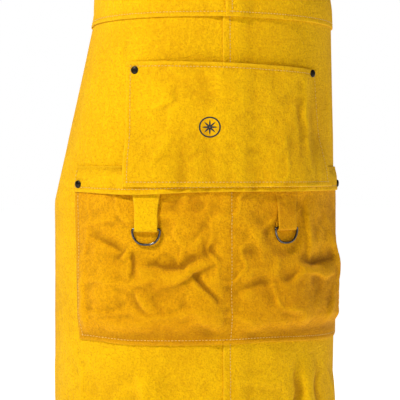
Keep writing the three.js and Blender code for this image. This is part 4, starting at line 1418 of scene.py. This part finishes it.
def lower_shape(u: np.ndarray, z: np.ndarray) -> tuple[np.ndarray, np.ndarray]:
    """Lets the lower pocket's bottom edge fall a little to the right.

    Args:
        u: places round the body, in metres.
        z: heights, in metres.

    Returns:
        The shaped u and z.
    """
    down = 1 - np.clip((z - LOWER_BOTTOM) / (LOWER_TOP - LOWER_BOTTOM), 0, 1)
    fall = 3.5 * MM * (1 - smooth(-190 * MM, -120 * MM, u)) - 6.5 * MM * smooth(40 * MM, 190 * MM, u)
    narrow = 9 * MM * down * (1 - smooth(-200 * MM, -60 * MM, u))
    return u + narrow, z + down * (fall + 2.5 * MM * smooth(196 * MM, 215 * MM, u))


@dataclass
class Garment:
    """The apron's leather: two skirt panels, two bib panels, two pockets and a flap."""

    body: str = "apron"
    leathers: dict = field(default_factory=dict)

    def panels(self) -> list[tuple[LeatherPanel, str]]:
        """Lists each leather panel with the CAD node that it stands for.

        Returns:
            The panels and their nodes' names.
        """
        inset = SEAM_INSET
        skirts = ("skirt_left_leather", "skirt_right_leather")
        yellow = Split.YELLOW
        skirt_left = LeatherPanel(
            "skirt_left_leather", yellow, -SKIRT_HALF, LEFT_PANEL_EDGE, HEM_Z, SKIRT_TOP_Z, skirt_left_lift,
            3.4 * MM, reshape=skirt_shape, rests_on=("bib_left_leather",),
        )
        skirt_right = LeatherPanel(
            "skirt_right_leather", yellow, -4 * MM, SKIRT_HALF, HEM_Z, SKIRT_TOP_Z, skirt_right_lift,
            3.4 * MM, seams_u=(CENTRE_SEAM,), reshape=skirt_shape, rests_on=("bib_right_leather",),
        )
        bib_left = LeatherPanel(
            "bib_left_leather", yellow, -SKIRT_HALF, LEFT_PANEL_EDGE, WAIST_Z, BIB_TOP_Z, bib_left_lift,
            3.0 * MM, seams_z=(WAIST_Z + inset,), reshape=bib_shape, rests_on=("neck_strap_leather",),
        )
        bib_right = LeatherPanel(
            "bib_right_leather", yellow, -1 * MM, SKIRT_HALF, WAIST_Z, BIB_TOP_Z, bib_right_lift,
            3.0 * MM, seams_u=(CENTRE_SEAM + 2 * MM,), seams_z=(WAIST_Z + inset,), reshape=bib_shape,
            rests_on=("neck_tab_leather",),
        )
        lower = LeatherPanel(
            "lower_pocket_leather", Split.ORANGE, POCKET_LEFT, POCKET_RIGHT, LOWER_BOTTOM, LOWER_TOP,
            lower_lift, 1.9 * MM, seams_u=(POCKET_LEFT + inset, CENTRE_SEAM, POCKET_RIGHT - inset),
            seams_z=(LOWER_BOTTOM + inset,), reshape=lower_shape, rests_on=skirts,
        )
        flap = LeatherPanel(
            "pocket_flap_leather", yellow, POCKET_LEFT, POCKET_RIGHT, FLAP_LOW, FLAP_TOP, flap_lift,
            1.9 * MM, seams_u=(POCKET_LEFT + 3 * MM,), seams_z=(FLAP_LOW + inset,), reshape=flap_shape,
            rests_on=skirts,
        )
        belly = LeatherPanel(
            "belly_pocket_leather", yellow, BELLY_LEFT, BELLY_RIGHT, BELLY_LOW, BELLY_TOP, belly_lift,
            1.9 * MM, seams_u=(BELLY_LEFT + inset, BELLY_RIGHT - inset),
            seams_z=(BELLY_LOW + inset, BELLY_TOP - inset), reshape=belly_shape, rests_on=skirts,
        )
        panels = (skirt_left, skirt_right, bib_left, bib_right, lower, flap, belly)
        return [(panel, panel.name.removesuffix("_leather")) for panel in panels]

    def build(self) -> None:
        """Builds and dresses every leather panel and its stitching."""
        for panel, node in self.panels():
            obj = panel.build()
            panel.dress(obj, self.leathers[panel.split], node)
            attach(obj, self.body)
            self.stitch(panel)

    def stitch(self, panel: LeatherPanel) -> None:
        """Sews the panel's stitch rows through its own shaped pattern.

        Args:
            panel: the built panel.
        """
        ends = 4 * MM
        rows = [((place, panel.low + ends), (place, panel.high - ends)) for place in panel.seams_u]
        rows += [((panel.left + ends, place), (panel.right - ends, place)) for place in panel.seams_z]
        for index, (start, end) in enumerate(rows):
            u = np.linspace(start[0], end[0], 60)
            z = np.linspace(start[1], end[1], 60)
            if panel.reshape is not None:
                u, z = panel.reshape(u, z)
            row = StitchRow(f"{panel.name}_stitches_{index}", list(zip(u, z)), panel.lift)
            obj = row.build()
            obj.data.materials.append(self.leathers["thread"])
            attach(obj, self.body)


@dataclass
class Emblem:
    """A small printed spark sign on the belly pocket: a star of rays in a ring."""

    name: str = "printed_spark_sign"
    u: float = -22 * MM
    z: float = WAIST_Z - 138 * MM
    radius: float = 13 * MM
    ink: float = 0.12 * MM
    rays: int = 8

    def build(self) -> bpy.types.Object:
        """Makes the print as a thin closed layer that follows the leather.

        The star's edge moves in and out between two radii; the ring round it
        is a narrow band. Both are strips of a polar grid.

        Returns:
            The finished object.
        """
        turn = np.linspace(0, 2 * np.pi, 192, endpoint=False)
        tooth = np.abs(((turn * self.rays / (2 * np.pi)) % 1) * 2 - 1)
        star = self.radius * (0.22 + 0.5 * tooth**1.6)
        bands = [(0 * star + 0.4 * MM, star), (0 * star + self.radius * 0.86, 0 * star + self.radius)]
        verts, faces = [], []
        for inner, outer in bands:
            start = sum(len(v) for v in verts)
            share = np.linspace(0, 1, 9)[:, None]
            reach = inner[None] * (1 - share) + outer[None] * share
            u, z = self.u + reach * np.cos(turn), self.z + reach * np.sin(turn)
            base = belly_lift(u, z) + SHEET - SINK
            for lift in (base + self.ink, base - self.ink):
                verts.append(FORM.place(u, z, lift).reshape(-1, 3))
            rows, cols = u.shape
            top = start + np.arange(rows * cols).reshape(rows, cols)
            low = top + rows * cols
            for a, b in ((top[:-1], top[1:]), (low[1:], low[:-1])):
                faces.append(np.stack([a, np.roll(a, -1, 1), np.roll(b, -1, 1), b], -1).reshape(-1, 4))
            for a, b in ((low[:1], top[:1]), (top[-1:], low[-1:])):
                faces.append(np.stack([a, np.roll(a, -1, 1), np.roll(b, -1, 1), b], -1).reshape(-1, 4))
        return outward(new_object(self.name, np.concatenate(verts), np.concatenate(faces)))


# The least lift under a rivet's cap where it also holds the end of a strap.
STRAP_LIFTS = {"waist": 6.4 * MM, "neck": 4.1 * MM}


@dataclass
class Hardware:
    """The rivets, the D rings on their tabs, and the slides and the buckle of the straps."""

    body: str = "apron"
    finishes: dict = field(default_factory=dict)

    def rivets(self) -> None:
        """Sets the eight domed caps on the leather that they hold."""
        sets = {
            "belly": ((-114, 128), -556, belly_lift),
            "flap": ((-191, 207), -699, flap_lift),
            "waist": ((-298, 298), -456, None),
            "neck": ((-123.5, 123.5), -210, None),
        }
        for kind, (places, height, lift) in sets.items():
            for side, place in zip(("left", "right"), places):
                u, z = place * MM, height * MM
                on = lift or (bib_left_lift if place < 0 else bib_right_lift)
                base = float(on(np.array([u]), np.array([z]))[0]) + SHEET - SINK
                base = max(base, STRAP_LIFTS.get(kind, 0.0)) + 0.3 * MM
                rivet = Rivet(f"rivet_cap_{kind}_{side}", f"rivet_{kind}_{side}", u, z, base)
                obj = rivet.build()
                obj.data.materials.append(self.finishes["rivet"])
                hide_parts(rivet.node)
                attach(obj, self.body)

    def rings(self) -> None:
        """Hangs each D ring in the fold of its leather tab."""
        for side, place, split in zip(("left", "right"), TAB_PLACES, (Split.YELLOW, Split.ORANGE)):
            ring = DRing(f"d_ring_wire_{side}", f"d_ring_{side}", place)
            wire = ring.build()
            wire.data.materials.append(self.finishes["ring"])
            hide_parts(ring.node)
            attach(wire, f"d_ring_{side}")
            tab = ToolTab(f"tool_tab_{side}_leather", f"tool_tab_{side}", place)
            strip = tab.build()
            strip.data.materials.append(self.finishes[split])
            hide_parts(tab.node)
            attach(strip, self.body)

    def carried(self) -> None:
        """Finishes the CAD pieces that are seen as they are: ring, slides, buckle and burrs."""
        for name, obj in frame["nodes"].items():
            if name.startswith(("neck_ring", "neck_slide", "waist_slide")):
                self.finish(obj, self.finishes["ring"], 0.25 * MM)
            elif name.startswith("burr_"):
                self.finish(obj, self.finishes["rivet"], 0.25 * MM)
            elif name.startswith("buckle_"):
                self.finish(obj, self.finishes["acetal"], 0.4 * MM)

    def finish(self, obj: bpy.types.Object, material: bpy.types.Material, width: float) -> None:
        """Rounds a CAD piece's edges with modifiers and gives it its finish.

        Args:
            obj: the CAD piece.
            material: its finish.
            width: how wide the rounding is.
        """
        obj.data.materials.clear()
        obj.data.materials.append(material)
        weld = obj.modifiers.new("weld", "WELD")
        weld.merge_threshold = 0.01 * MM
        bevel = obj.modifiers.new("rounding", "BEVEL")
        bevel.width = width
        bevel.segments = 2
        bevel.limit_method = "ANGLE"
        bevel.angle_limit = math.radians(28)
        bevel.harden_normals = False
        log.info("%s: kept from the CAD, edges rounded by %.2f mm", obj.name, width / MM)


@dataclass
class Straps:
    """The neck strap, its tab and the two waist straps, cut from the same hide."""

    body: str = "apron"
    width: float = 25 * MM
    finishes: dict = field(default_factory=dict)

    def build(self) -> None:
        """Copies each strap from the imported model, with rounded, worn edges."""
        for node in ("neck_strap", "neck_tab", "waist_strap_left", "waist_strap_right"):
            source = frame["nodes"][node]
            obj = bpy.data.objects.new(f"{node}_leather", source.data.copy())
            bpy.context.scene.collection.objects.link(obj)
            obj.data.materials.clear()
            obj.data.materials.append(self.finishes[Split.YELLOW])
            area = self.rounded(obj)
            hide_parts(node)
            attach(obj, self.body)

    def rounded(self, obj: bpy.types.Object) -> float:
        """Welds the strap, rounds its cut edges and marks them for wear.

        Args:
            obj: the strap's own mesh.

        Returns:
            The surface's area in square metres.
        """
        bm = bmesh.new()
        bm.from_mesh(obj.data)
        bmesh.ops.remove_doubles(bm, verts=bm.verts, dist=0.01 * MM)
        bmesh.ops.dissolve_degenerate(bm, edges=bm.edges, dist=0.01 * MM)
        sharp = [e for e in bm.edges if len(e.link_faces) == 2 and e.calc_face_angle(0) > math.radians(50)]
        made = bmesh.ops.bevel(bm, geom=sharp, offset=0.55 * MM, segments=3, affect="EDGES", profile=0.6)
        bmesh.ops.recalc_face_normals(bm, faces=bm.faces)
        for face in bm.faces:
            face.smooth = True
        rim = bm.verts.layers.float.new("rim")
        for vert in made["verts"]:
            if vert.is_valid:
                vert[rim] = 0.8
        area = sum(face.calc_area() for face in bm.faces)
        bm.to_mesh(obj.data)
        bm.free()
        return area


@dataclass(frozen=True)
class Studio:
    """The pale floor and background, the soft lights and the camera."""

    floor_z: float = -1.43
    azimuth: float = math.radians(16)
    distance: float = 1.625
    camera_z: float = -0.681
    tilt: float = math.radians(1.43)
    lens: float = 108.0
    aim_shift: float = 0.0075
    ambient: float = 0.15

    def floor(self) -> None:
        """Lays a plain pale floor below the hem."""
        size = 40.0
        corners = np.array([[-1, -1], [1, -1], [1, 1], [-1, 1]]) * size / 2
        verts = np.concatenate([corners, np.full((4, 1), self.floor_z)], 1)
        obj = new_object("studio_floor", verts, np.array([[0, 1, 2, 3]]), False)
        material = bpy.data.materials.new("matt_white_studio_paper")
        material.use_nodes = True
        shader = material.node_tree.nodes["Principled BSDF"]
        shader.inputs["Base Color"].default_value = srgb("#F4F4F2")
        shader.inputs["Roughness"].default_value = 0.9
        shader.inputs["Emission Color"].default_value = srgb("#FFFFFF")
        shader.inputs["Emission Strength"].default_value = 0.88
        obj.data.materials.append(material)

    def lights(self) -> None:
        """Hangs a key light up to the left, a fill to the right, one behind, and a white world."""
        world = bpy.data.worlds.new("white_studio")
        world.use_nodes = True
        back = world.node_tree.nodes["Background"]
        back.inputs["Color"].default_value = srgb("#FFFFFF")
        rays = world.node_tree.nodes.new("ShaderNodeLightPath")
        strength = world.node_tree.nodes.new("ShaderNodeMapRange")
        strength.inputs["To Min"].default_value = self.ambient
        strength.inputs["To Max"].default_value = 1.0
        world.node_tree.links.new(rays.outputs["Is Camera Ray"], strength.inputs["Value"])
        world.node_tree.links.new(strength.outputs["Result"], back.inputs["Strength"])
        bpy.context.scene.world = world
        target = Vector((0.0, FRONT_Y, -0.7))
        for name, place, power, size in (
            ("key_softbox", (-1.75, -1.15, 1.15), 70.0, 0.25),
            ("fill_softbox", (1.2, -2.4, -0.5), 6.0, 1.4),
            ("back_softbox", (0.6, 2.3, 0.4), 34.0, 1.2),
        ):
            lamp = bpy.data.lights.new(name, "AREA")
            lamp.energy = power
            lamp.size = size
            obj = bpy.data.objects.new(name, lamp)
            obj.location = Vector(place)
            obj.rotation_euler = (target - Vector(place)).to_track_quat("-Z", "Y").to_euler()
            bpy.context.scene.collection.objects.link(obj)

    def camera(self) -> None:
        """Stands the camera in front, a little to the left, looking almost level."""
        data = bpy.data.cameras.new("front_camera")
        data.lens = self.lens
        data.sensor_width = 36.0
        data.shift_x = self.aim_shift
        obj = bpy.data.objects.new("front_camera", data)
        look = Vector((math.sin(self.azimuth), math.cos(self.azimuth), 0.0))
        axis = Vector((0.0, FRONT_Y, self.camera_z))
        obj.location = axis - look * self.distance
        way = Vector((look.x, look.y, -math.tan(self.tilt)))
        obj.rotation_euler = way.to_track_quat("-Z", "Y").to_euler()
        bpy.context.scene.collection.objects.link(obj)
        bpy.context.scene.camera = obj


def main() -> None:
    """Builds the studio and dresses the whole apron."""
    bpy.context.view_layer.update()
    bpy.context.scene.view_settings.view_transform = "Standard"
    studio = Studio()
    studio.camera()
    studio.lights()
    studio.floor()
    finishes = {
        Split.YELLOW: YELLOW.make(),
        Split.ORANGE: ORANGE.make(),
        "thread": THREAD.make(),
        "rivet": RIVET_STEEL.make(),
        "ring": RING_STEEL.make(),
        "acetal": ACETAL.make(),
    }
    Garment(leathers=finishes).build()
    sign = Emblem().build()
    sign.data.materials.append(INK.make())
    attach(sign, "apron")
    Straps(finishes=finishes).build()
    hardware = Hardware(finishes=finishes)
    hardware.rings()
    hardware.rivets()
    hardware.carried()


if __name__ == "__main__":
    main()
